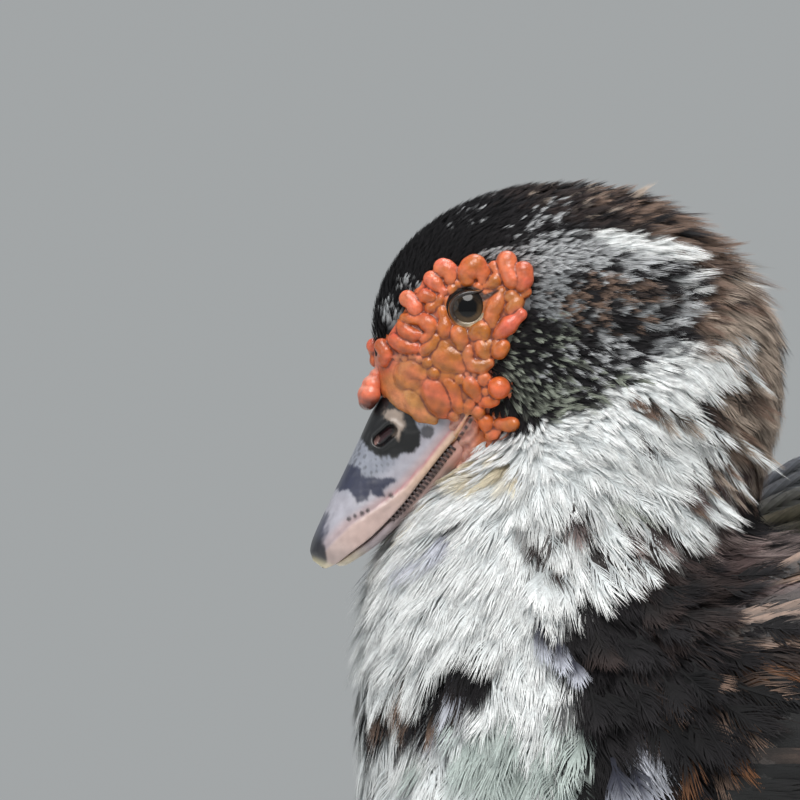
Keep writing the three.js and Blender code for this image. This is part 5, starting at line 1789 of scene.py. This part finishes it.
# Across the lid from its inner edge: millimetres outwards along the ball, and millimetres off the ball
LID_PROFILE = [
    (-0.3, -0.6), (-0.1, 0.25), (0.35, 0.62), (0.9, 0.6), (1.5, 0.25), (2.3, -0.5), (2.8, -2), (1.2, -2.4),
    (0, -2),
]
LID_STEPS = 144
for side, word in SIDES:
    outward = gazes[side]
    back_way = unit_of(np.cross((0, 0, 1.0), outward))
    back_way = back_way * np.sign(back_way[0])
    rise_way = unit_of(np.cross(outward, back_way))
    rise_way = rise_way * np.sign(rise_way[2])
    angles = np.linspace(0, 2 * math.pi, LID_STEPS, endpoint=False)
    turned = (np.degrees(angles) - LID["corner_at"] + 180) % 360 - 180
    corner = np.exp(-((turned / LID["corner_width"]) ** 2))
    reach = 1 / np.hypot(np.cos(angles) / LID["long"], np.sin(angles) / LID["high"]) + LID["corner"] * corner
    hooded = (np.degrees(angles) - LID["hood_at"] + 180) % 360 - 180
    reach = reach - LID["hood"] * np.exp(-((hooded / LID["hood_width"]) ** 2))
    rings = []
    for aside, lift in LID_PROFILE:
        off = (reach + aside * (1 - 0.35 * corner)) / EYE_RADIUS
        way = np.cos(angles)[:, None] * back_way + np.sin(angles)[:, None] * rise_way
        spot = np.cos(off)[:, None] * outward + np.sin(off)[:, None] * way
        raised = EYE_RADIUS + lift + (1.3 * corner * (aside > -0.2))
        rings.append(eye_centres[side] + spot * raised[:, None])
    rings = np.array(rings).transpose(1, 0, 2)
    size = len(LID_PROFILE)
    ring, step = np.meshgrid(np.arange(LID_STEPS), np.arange(size), indexing="ij")
    onward = (ring + 1) % LID_STEPS * size
    nearby = (step + 1) % size
    around = np.stack([ring * size + step, ring * size + nearby, onward + nearby, onward + step], -1)
    piece = mesh_piece("lids_" + word, rings.reshape(-1, 3), around.reshape(-1, 4))
    edit_all(piece, bpy.ops.mesh.normals_make_consistent, inside=False)
    apply(piece, "SUBSURF", levels=2, render_levels=2)
    smooth_shaded(piece)
    places_now, normals_now = vertices_of(piece)
    from_centre = places_now - eye_centres[side]
    spans = np.stack([from_centre @ back_way, from_centre @ rise_way], -1)
    radial = np.hypot(spans[:, 0] / LID["long"], spans[:, 1] / LID["high"])
    lower_rear = smooth(0.8 * spans[:, 0] - spans[:, 1], 0.5, 3.5)
    in_corner = smooth(spans @ (0.866, 0.5), 3.9, 4.6) * smooth(np.abs(spans @ (-0.5, 0.866)), 3.4, 2.2)
    tint = np.tile(linear(166, 104, 40), (len(places_now), 1))
    tint = toned(tint, linear(226, 204, 170), lower_rear * smooth(radial, 1.34, 1.2))
    tint = toned(tint, linear(34, 26, 28), 0.95 * in_corner)
    front = smooth(-spans[:, 0] - 0.3 * spans[:, 1], 0, 3)
    rim = smooth(radial, mix(1.1, 1.24, front), mix(1.03, 1.12, front))
    tint = toned(tint, linear(24, 18, 16), rim * (0.95 - 0.35 * lower_rear))
    # The top of the lids is painted near black: painted shadow under the brow bulbs.
    upper = smooth(spans[:, 1], 2.2, 3.4) * smooth(radial, 1.28, 1.14)
    tint = toned(tint, linear(26, 19, 16), upper * 0.93)
    paint(piece, "tint", np.clip(tint, 0, 1))
    finished(piece, skin_finish, "caruncle", "eye_" + word)
print("lid points:", len(piece.data.vertices))

# %% [markdown]
# ## The bill
# A duck's bill is a long spoon with a nail at its tip, slit nostrils and a rolled edge, and a comb
# of small plates shows between its halves. The whole outside is one loft through the stations of the
# solid, in the bill's own frame: along it from the face, across, and up from its middle line.
# Its black and slate patches are outlines in that frame, blurred a little and made to wander.

# %% Frame of the bill and its upper half
BILL_ROOT = np.array((-36, 0, 301.7))
BILL_WAYS = np.array(
    [
        (-math.cos(BILL_PITCH), 0, -math.sin(BILL_PITCH)),
        (0, 1, 0),
        (-math.sin(BILL_PITCH), 0, math.cos(BILL_PITCH)),
    ]
)
# Along the bill: ridge, lower edge and half width of the upper half, then depth and half width below
UPPER = [
    (-16, 11.5, -11.6, 11),
    (0, 12.6, -11.2, 11.6),
    (10, 12.3, -10.4, 11.3),
    (20, 10.6, -9.8, 11),
    (30, 8.9, -9.1, 11.4),
    (42, 6.8, -7, 12.3),
    (50, 5.4, -4.6, 11.6),
    (55, 3.9, -3.4, 7.6),
    (57.2, 1.6, -2.6, 1.6),
]
LOWER = [
    (-16, 8.5, 9.6), (0, 7.4, 10.4), (16, 5.6, 10.2), (35, 3.6, 10.6), (45, 3.2, 10.4), (50, 2.9, 8),
    (53, 2.2, 5), (54.4, 1, 1.8),
]
ridge, edge, bill_half = (track(UPPER, column) for column in (1, 2, 3))
lower_depth, lower_half = (track(LOWER, column) for column in (1, 2))
SLIT = [(17.5, 6.8), (15.3, 6.3), (13.2, 5.7)]
PINK_LINE = [(-4, -8.8), (4, -8.5), (15, -7.7), (25, -6.4), (32, -4), (43, 0.2), (50, 1.5), (57, 2)]
SIDE_STEPS = 112


def in_bill_frame(points):
    return (points - BILL_ROOT) @ BILL_WAYS.T


def from_bill_frame(points):
    return BILL_ROOT + points @ BILL_WAYS


def line_distance(spots, line):
    """Distance in a plane to a broken line."""
    closest = np.full(len(spots), 1e9)
    for a, b in zip(np.array(line[:-1], float), np.array(line[1:], float)):
        run = b - a
        t = np.clip((spots - a) @ run / (run @ run), 0, 1)
        closest = np.minimum(closest, np.linalg.norm(spots - a - t[:, None] * run, axis=1))
    return closest


def upper_rings(stations):
    rings = []
    for at in stations:
        turn_round = np.linspace(0, math.pi, SIDE_STEPS)
        across = power(np.cos(turn_round), 0.75) * bill_half(at)
        high = edge(at) + (ridge(at) - edge(at)) * power(np.sin(turn_round), 0.9)
        floor_across = np.linspace(-1, 1, 26)[1:-1] * bill_half(at) * 0.93
        floor_high = edge(at) + 1.2 * (1 - (floor_across / bill_half(at)) ** 2)
        across = np.concatenate([across, floor_across])
        high = np.concatenate([high, floor_high])
        rings.append(np.stack([np.full(len(across), at), across, high], -1))
    return np.array(rings)


print("bill from", UPPER[0][0], "to", UPPER[-1][0], "mm along its own line")

# %% Upper half, with its slit and its rolled edge
rings = upper_rings(np.linspace(-14, 57.2, 150))
size = rings.shape[1]
flat_rings = rings.reshape(-1, 3)
spots = flat_rings[:, ::2]
on_side = np.tile(np.arange(size) < SIDE_STEPS, len(rings))
outward = np.stack([np.zeros(len(spots)), np.sign(flat_rings[:, 1]), np.full(len(spots), 0.25)], -1)
to_slit = line_distance(spots, SLIT)
below_pink = np.interp(flat_rings[:, 0], *np.array(PINK_LINE, float).T) - flat_rings[:, 2]
swell = 0.4 * np.exp(-(((below_pink - 1.6) / 1.1) ** 2)) * smooth(flat_rings[:, 0], 46, 30)
swell = (swell - 0.22 * np.exp(-((below_pink / 0.5) ** 2))) * smooth(flat_rings[:, 0], 57, 50)
swell += 0.5 * np.exp(-(((to_slit - 2.5) / 0.8) ** 2)) - 2.4 * smooth(to_slit, 1.9, 0.9)
swell += 0.12 * ripple(flat_rings, 6) + 0.05 * ripple(flat_rings, 2.1)
aside = smooth(np.abs(flat_rings[:, 1]), 1, 4) * on_side
flat_rings = flat_rings + outward * (swell * aside)[:, None]
upper_bill = smooth_shaded(loft("upper_bill", from_bill_frame(flat_rings).reshape(rings.shape)))
print("upper bill:", len(upper_bill.data.polygons), "faces")

# %% Patches on the upper bill
# Outlines along the bill and up
BLACK_PATCH = [
    (1.5, 15), (2.2, 10.6), (5.7, 5.8), (7, 1.3), (8.4, -1.7), (11.7, -3.9), (14.9, -3.3), (17, -1),
    (19.1, 0.5), (22, 4.6), (21.4, 8.1), (20, 10.4), (16, 12.6), (12, 15), (6, 17),
]
RIM_PATCH = [
    (8.2, 10.4), (7.2, 8.4), (7, 6.2), (9.8, 3.8), (14.3, 2.4), (14.3, 3.7), (11.8, 4.9), (11, 7.2),
    (10.4, 10),
]
SLATE_PATCH = [
    (28.2, 12), (27.6, 6.8), (29, 5.3), (27.2, 2), (24.1, -3.1), (24.9, -4.1), (28.8, -2.2), (30.2, -3.7),
    (32, -1.9), (31.3, 0.6), (33.8, -0.1), (36.8, 1.4), (34.7, 4.9), (36.7, 9.1), (32.2, 12),
]
NAIL_PATCH = [(43, 9), (43.4, 6.2), (47, 5), (51, 3.6), (54, 0.8), (56.8, -1.6), (60, 0), (58, 9)]
DOTS = [
    (7.5, -3.1, 2), (41.9, 1.4, 0.7), (40.2, 0.5, 0.6), (36.7, -1.7, 0.5), (38.4, -0.8, 0.6),
    (29.1, -4.9, 0.9),
]
BILL_TONES = {
    "side": linear(166, 164, 174),
    "upper": linear(136, 140, 152),
    "pink": linear(186, 148, 142),
    "tomium": linear(208, 178, 156),
    "line": linear(190, 128, 132),
    "black": linear(10, 11, 14),
    "slate": linear(40, 44, 66),
    "rim": linear(166, 150, 138),
    "lower": linear(186, 156, 150),
    "pale": linear(232, 218, 176),
}

print("bill tones:", len(BILL_TONES), "dots:", len(DOTS))


# %% Tint of the upper bill
def blend(tint, tone, amount):
    return toned(tint, BILL_TONES[tone], amount)


def wandering(points, size, outline, soft):
    spots = points[:, ::2] + 0.35 * np.stack([ripple(points, size), ripple(points + 40, size)], -1)
    spots = spots + 0.25 * np.stack([ripple(points, size / 2.6), ripple(points + 90, size / 2.6)], -1)
    return smooth(outline_distance(spots, outline), soft, -soft)


def bill_tint(points):
    along, _, high = points.T
    pink_line = np.interp(along, *np.array(PINK_LINE, float).T)
    tint = np.tile(BILL_TONES["side"], (len(points), 1))
    tint = blend(tint, "upper", smooth(high - pink_line, 4, 9) * smooth(along, 40, 30))
    below = smooth(pink_line + 3.5 - high, 0, 3)
    tint = blend(tint, "pink", 0.5 * below * (1 - 0.35 * smooth(along, 44, 54)))
    tint = blend(tint, "tomium", smooth(pink_line - high, 0, 0.8) * (0.35 + 0.65 * smooth(along, 34, 14)))
    tint = blend(tint, "line", 0.8 * np.exp(-(((high - pink_line) / 0.4) ** 2)) * smooth(along, 38, 24))
    speckle = smooth(ripple(points, 1.7), 0, 0.5) * smooth(high - pink_line, 5, 9) * smooth(along, 32, 26)
    tint = blend(tint, "black", 0.45 * speckle)
    tint = blend(tint, "black", wandering(points, 4.2, BLACK_PATCH, 0.35))
    tint = blend(tint, "rim", 0.75 * wandering(points, 3, RIM_PATCH, 0.5))
    tint = blend(tint, "slate", wandering(points, 4.2, SLATE_PATCH, 0.45) * 0.96)
    for place, rise, radius in DOTS:
        gap = np.hypot(along - place, high - rise) + 0.2 * ripple(points, 2)
        tint = blend(tint, "black", 0.8 * smooth(gap, radius + 0.3, radius - 0.3))
    # The nostril slit is painted black, dark red at its middle: painted shade in its opening.
    to_slit = line_distance(points[:, ::2], SLIT)
    tint = blend(tint, "black", 0.9 * smooth(to_slit, 1.9, 1.2))
    tint = toned(tint, linear(70, 34, 42), 0.8 * smooth(to_slit, 1, 0.5))
    flesh_spot = np.hypot((along - 17.6) / 1.6, (high - 7.1) / 0.6) + 0.2 * ripple(points, 2)
    tint = blend(tint, "pink", 0.8 * smooth(flesh_spot, 1.1, 0.8))
    tint = blend(tint, "slate", 0.9 * wandering(points, 5, NAIL_PATCH, 0.9))
    tint = blend(tint, "black", 0.75 * wandering(points, 5, NAIL_PATCH, 0.3) * smooth(along, 48, 53))
    tint = blend(tint, "pale", 0.7 * smooth(along - 0.2 * high, 55.2, 57.4))
    return np.clip(tint * (1 + 0.05 * ripple(points, 3))[:, None], 0, 1)


in_frame = in_bill_frame(vertices_of(upper_bill)[0])
paint(upper_bill, "tint", bill_tint(in_frame))
bill_finish = tinted_finish("waxy_bill", "tint", (300, 0.18), (900, 0.12), Roughness=0.4, Coat_Weight=0.12)
finished(upper_bill, bill_finish, "bill", "bill_upper")
print("upper bill's darkest tint:", bill_tint(in_frame).min().round(3))

# %% Nail at the tip
NAIL = {"along": 52.2, "high": 1.1, "long": 5.4, "wide": 4.9, "thick": 3.8, "droop": 0.42}
nail, unit_ball = sphere_points(48, 32)
nail_along = unit_ball[:, 0] * NAIL["long"]
nail_high = unit_ball[:, 2] * NAIL["thick"] - 0.1 * np.clip(nail_along, 0, 9) ** 1.5
nail_points = np.stack(
    [
        NAIL["along"] + nail_along * math.cos(NAIL["droop"]) + nail_high * math.sin(NAIL["droop"]) * 0.3,
        unit_ball[:, 1] * NAIL["wide"] * (1 - 0.25 * smooth(nail_along, 2, 6)),
        NAIL["high"] - nail_along * math.sin(NAIL["droop"]) + nail_high * math.cos(NAIL["droop"]),
    ],
    -1,
)
nail.name = "bill_nail"
move_points(nail, from_bill_frame(nail_points))
smooth_shaded(nail)
nail_tint = np.tile(linear(150, 156, 170), (len(nail_points), 1))
nail_tint = blend(nail_tint, "slate", smooth(nail_points[:, 0], 47.5, 51) * 0.9)
nail_tint = blend(nail_tint, "black", smooth(nail_points[:, 0], 50, 54) * 0.85)
nail_tint = blend(nail_tint, "pale", smooth(nail_points[:, 0] - 0.35 * nail_points[:, 2], 56, 57.2))
paint(nail, "tint", nail_tint)
finished(nail, bill_finish, "bill", "bill_upper")
print("nail:", len(nail.data.polygons), "faces")

# %% Lower half of the bill
rings = []
for at in np.linspace(-15, 54, 140):
    turn_round = np.linspace(0, math.pi, 60)
    across = power(np.cos(turn_round), 0.8) * lower_half(at)
    top = edge(at) - 0.9
    high = top - lower_depth(at) * power(np.sin(turn_round), 0.7)
    back_across = np.linspace(-1, 1, 14)[1:-1] * lower_half(at)
    across = np.concatenate([across, back_across])
    high = np.concatenate([high, np.full(12, top + 0.2)])
    rings.append(np.stack([np.full(len(across), at), across, high], -1))
rings = np.array(rings)
lower_points = rings.reshape(-1, 3)
lower_points = lower_points + np.stack(
    [np.zeros(len(lower_points)), 0.12 * ripple(lower_points, 5), np.zeros(len(lower_points))], -1
)
lower_bill = smooth_shaded(loft("lower_bill", from_bill_frame(lower_points).reshape(rings.shape)))
print("lower bill:", len(lower_bill.data.polygons), "faces")

# %% Tones of the lower half
in_frame = in_bill_frame(vertices_of(lower_bill)[0])
along = in_frame[:, 0]
tint = np.tile(BILL_TONES["lower"], (len(in_frame), 1))
tint = blend(tint, "side", 0.6 * smooth(along, 26, 40))
tint = blend(tint, "pale", 0.5 * smooth(along, 44, 52))
under = edge(along) - 0.9 - in_frame[:, 2]
spotted = smooth(ripple(in_frame * (1, 0, 1), 4.5), 0.1, 0.4) * smooth(along, 12, 6)
in_comb = np.maximum(spotted, smooth(along, 9, 13)) * smooth(along, 38, 32)
# Just under the upper half's edge the lower half is painted darker, patchy near the root: painted shade
# under that edge.
tint = blend(tint, "black", 0.4 * smooth(under, 2.4, 1.6) * in_comb)
tint = blend(tint, "black", 0.5 * smooth(under, 3, 4.4) * smooth(along, 8, 13) * smooth(along, 30, 22))
tint = toned(tint, linear(228, 178, 166), 0.9 * smooth(along, 15, 8))
tint = tint * (1 + 0.06 * ripple(in_frame, 3))[:, None]
paint(lower_bill, "tint", np.clip(tint, 0, 1))
finished(lower_bill, bill_finish, "bill", "bill_lower")
print("lower bill's tint from", tint.min().round(2), "to", tint.max().round(2))

# %% Comb of plates between the halves
COMB_STEP = 1.45
COMB_FROM = 7
COMB_TO = 36
COMB_HALF_THICK = 0.36
comb_at = np.arange(COMB_FROM, COMB_TO, COMB_STEP)
comb_points = []
for at in comb_at:
    for side in (-1, 1):
        size_here = mix(1, 0.55, smooth(at, 20, 42))
        low, high = edge(at) - 2.5 * size_here, edge(at) + 0.7
        outer = side * (bill_half(at) - 0.2)
        inner = side * (bill_half(at) - 1.6)
        corners_here = ((outer, high), (outer, low + 0.5), (mix(outer, inner, 0.4), low), (inner, high))
        for along_at in (at - COMB_HALF_THICK, at + COMB_HALF_THICK):
            for across_at, high_at in corners_here:
                comb_points.append((along_at, across_at, high_at))
comb_points = np.array(comb_points)
box = np.array([(0, 1, 5, 4), (1, 2, 6, 5), (2, 3, 7, 6), (3, 0, 4, 7), (0, 3, 2, 1), (4, 5, 6, 7)])
comb_faces = (np.arange(len(comb_points) // 8)[:, None, None] * 8 + box).reshape(-1, 4)
comb = mesh_piece("bill_comb", from_bill_frame(comb_points), comb_faces)
edit_all(comb, bpy.ops.mesh.normals_make_consistent, inside=False)
paint(comb, "tint", np.tile(linear(70, 58, 58), (len(comb_points), 1)))
finished(comb, bill_finish, "bill", "bill_lower")
print("plates in the comb:", len(comb_at), "a side")

# %% Pink skin of the gape
MOUTH_LINE = np.array([(1.2, -33.4), (-5.6, -43.8)])
MOUTH_LONG = np.linalg.norm(MOUTH_LINE[1] - MOUTH_LINE[0])
MOUTH_WAY = (MOUTH_LINE[1] - MOUTH_LINE[0]) / MOUTH_LONG
GAPE_TONES = (linear(176, 118, 106), linear(204, 150, 134))
for side, word in SIDES:
    on_gape = (gape_gap[quads].min(1) < 1.4) & (flesh[quads][:, :, 1].mean(1) * side > 0)
    used, picked_quads = np.unique(quads[on_gape], return_inverse=True)
    height = mix(GAPE_RISE, -1.5, smooth(gape_gap[used], -1.6, 1.4))
    points = flesh[used] + flesh_normals[used] * height[:, None]
    piece = mesh_piece("gape_skin_" + word, points, picked_quads.reshape(-1, 4))
    apply(piece, "SUBSURF", levels=3, render_levels=3)
    places_now, normals_now = vertices_of(piece)
    waves = in_bill_frame(places_now)[:, 2] * 2.2 + 1.5 * ripple(places_now, 9)
    folds = 0.22 * np.sin(waves) + 0.1 * ripple(places_now, 2.5)
    move_points(smooth_shaded(piece), places_now + normals_now * folds[:, None])
    # Troughs of the folds are painted darker than their crests: painted shade.
    tint = toned(*GAPE_TONES, smooth(folds, -0.25, 0.2))
    tint = toned(tint, SKIN_TONES["orange"], smooth(places_now[:, 0] - EYE_X, 2, 5.5))
    seen = seen_from_left(places_now)
    run = np.clip((seen - MOUTH_LINE[0]) @ MOUTH_WAY, 0, MOUTH_LONG)
    gap = np.linalg.norm(seen - MOUTH_LINE[0] - run[:, None] * MOUTH_WAY, axis=1)
    notched = smooth(np.sin(run * 2 * math.pi / 2.1), -0.5, 0.1)
    # A dark line along the mouth, lighter at each tooth of the comb, is painted shadow in the gap between
    # the bill halves.
    tint = toned(tint, linear(50, 38, 42), 0.92 * smooth(gap, 0.75, 0.35) * mix(0.35, 1, notched))
    paint(piece, "tint", tint)
    finished(piece, skin_finish, "caruncle", "bill_lower")
print("gape skin points:", len(piece.data.vertices))

# %% [markdown]
# ## Legs, feet and claws
# Bare shanks and toes carry small scales, with a row of wide plates down the front of the shank and
# along the top of each toe, and wrinkled webs in between. The solids already have the right form, so
# their copies are fused by a fine remesh, and the scales are pressed into that surface: scattered
# seeds give each scale its cell, and the border between two cells becomes a groove.

# %% Fused copies of the shanks and feet
FOOT_VOXEL_MM = 0.7
FOOT_X = 152
TOES = [(-0.46, 58), (0.02, 74), (0.48, 69), (math.pi - 0.35, 17)]


def copy_of(node, name):
    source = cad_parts[node]
    copied = bpy.data.objects.new(name, source.data.copy())
    copied.matrix_world = source.matrix_world
    bpy.context.scene.collection.objects.link(copied)
    only(copied)
    bpy.ops.object.transform_apply(location=True, rotation=True, scale=True)
    return copied


legs = {}
for side, word in SIDES:
    parts = [copy_of("shank_" + word, "leg_" + word), copy_of("foot_" + word, "foot_copy")]
    legs[side] = fused(parts, "leg_" + word, FOOT_VOXEL_MM, 2)
    print(word, "leg:", len(legs[side].data.polygons), "faces")

# %% Scales, plates and webs
SCALE_MM = 1.7
PLATE_MM = 2.7
SCALE_DEPTH = 0.32


def cell_gap(points, seeds):
    """How much nearer the nearest seed is than the next one: zero on the border of two cells."""
    tree = KDTree(len(seeds))
    for number, seed in enumerate(seeds.tolist()):
        tree.insert(seed, number)
    tree.balance()
    pairs = [tree.find_n(point, 2) for point in points.tolist()]
    return np.array([pair[1][2] - pair[0][2] for pair in pairs])


def along_toes(flat, side):
    """How far each point of the foot lies from the nearest toe's middle line, and how far out along it."""
    to_toe = np.full(len(flat), 1e9)
    along_toe = np.zeros(len(flat))
    for angle, reach in TOES:
        way = np.array((-math.cos(angle), side * math.sin(angle)))
        run = np.clip(flat @ way, 0, reach)
        gap = np.linalg.norm(flat - run[:, None] * way, axis=1)
        along_toe = np.where(gap < to_toe, run, along_toe)
        to_toe = np.minimum(to_toe, gap)
    return to_toe, along_toe


print("front toes reach (mm):", ", ".join(str(reach) for _, reach in TOES[:3]))

# %% Press the scales in and paint them
for side, word in SIDES:
    piece = legs[side]
    places_now, normals_now = vertices_of(piece)
    draw = np.random.default_rng(80 + side)
    tries = places_now[draw.choice(len(places_now), 9000)]
    seeds = tries[thinned(tries, np.full(len(tries), SCALE_MM))]
    cells = smooth(cell_gap(places_now, seeds), 0, 0.55)
    to_toe, along_toe = along_toes(places_now[:, :2] - (FOOT_X, side * HIP_Y), side)
    low = smooth(places_now[:, 2], 16, 11)
    on_web = low * smooth(to_toe, 3.6, 5)
    on_top = low * smooth(to_toe, 3.1, 2.3) * smooth(normals_now[:, 2], 0.1, 0.5)
    on_front = (1 - low) * smooth(-normals_now[:, 0], 0.2, 0.5)
    plates = np.abs(np.sin(math.pi * mix(places_now[:, 2], along_toe, low) / PLATE_MM)) ** 0.5
    plates = smooth(plates, 0.1, 0.75)
    wrinkles = 0.5 + 0.5 * ripple(places_now, 2.6)
    relief = mix(cells, plates, np.maximum(on_top, on_front))
    relief = mix(relief, wrinkles * 0.5, on_web)
    move_points(piece, places_now + normals_now * (SCALE_DEPTH * (relief - 0.6))[:, None])
    dark = smooth(ripple(places_now, 15) + 0.35 * ripple(places_now, 5), 0.05, 0.35)
    tint = toned(linear(176, 148, 82), linear(74, 66, 56), 0.85 * dark)
    tint = toned(tint, linear(112, 92, 62), 0.7 * on_web * (1 - dark))
    # Grooves between the scales and plates are painted darker: painted shade.
    tint = tint * mix(0.5, 1.05, relief)[:, None]
    paint(piece, "tint", np.clip(tint, 0, 1))
    print(word, "scales:", len(seeds))

foot_finish = tinted_finish("scaly_foot", "tint", (500, 0.4), (1400, 0.35), Roughness=0.55)
for side, word in SIDES:
    finished(legs[side], foot_finish, "foot_skin", "shank_" + word, "foot_" + word)

# %% Claws
claw_finish = tinted_finish("horn_claw", "tint", (900, 0.4), (2000, 0.2), Roughness=0.35)
claw_nodes = [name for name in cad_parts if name.startswith("claw_")]
for name in claw_nodes:
    piece = copy_of(name, "horn_" + name)
    apply(piece, "SUBSURF", levels=2, render_levels=2)
    smooth_shaded(piece)
    places_now, _ = vertices_of(piece)
    side = -1 if name.endswith("left") else 1
    reach = np.linalg.norm(places_now[:, :2] - (FOOT_X, side * HIP_Y), axis=1)
    share = (reach - reach.min()) / np.ptp(reach)
    paint(piece, "tint", toned(linear(126, 110, 84), linear(44, 39, 34), smooth(share, 0.1, 0.9)))
    finished(piece, claw_finish, "claw", name)
print("claws:", len(claw_nodes))

# %% [markdown]
# ## Finish of the feathers
# Body plumage is dull and dry, because its loose barbs scatter the light, while the long vanes of wing and
# tail have a silky sheen. One finish for both would make the wings look like wool, so there are two,
# and each reads the tones painted on its feathers. Every piece then hides the solids it stands for.

# %% Soft and firm plumage
soft_finish = tinted_finish(
    "soft_plumage", "plumage", (700, 0.25), (2600, 0.35), Roughness=0.72, Specular_IOR_Level=0.22
)
firm_finish = tinted_finish(
    "firm_plumage", "plumage", (500, 0.3), (2200, 0.3), Roughness=0.48, Specular_IOR_Level=0.42
)
COAT_SLOTS = {"coat_head": "head_plumage", "coat_neck": "white_plumage", "coat_breast": "white_plumage"}
finished(body, soft_finish, "dark_plumage", "head", "neck", "torso", "thigh_left", "thigh_right")
for piece in coat:
    region = piece.name.rsplit("_", 1)[0]
    slot = COAT_SLOTS.get(region, "dark_plumage")
    finished(piece, soft_finish, slot, "head" if region == "coat_head" else "torso")
for word, piece in wings:
    finished(piece, firm_finish, "flight_feather", "wing_" + word)
for piece in tail_pieces:
    finished(piece, firm_finish, "flight_feather", "tail")
print("feathered pieces:", 1 + len(coat) + len(wings) + len(tail_pieces))
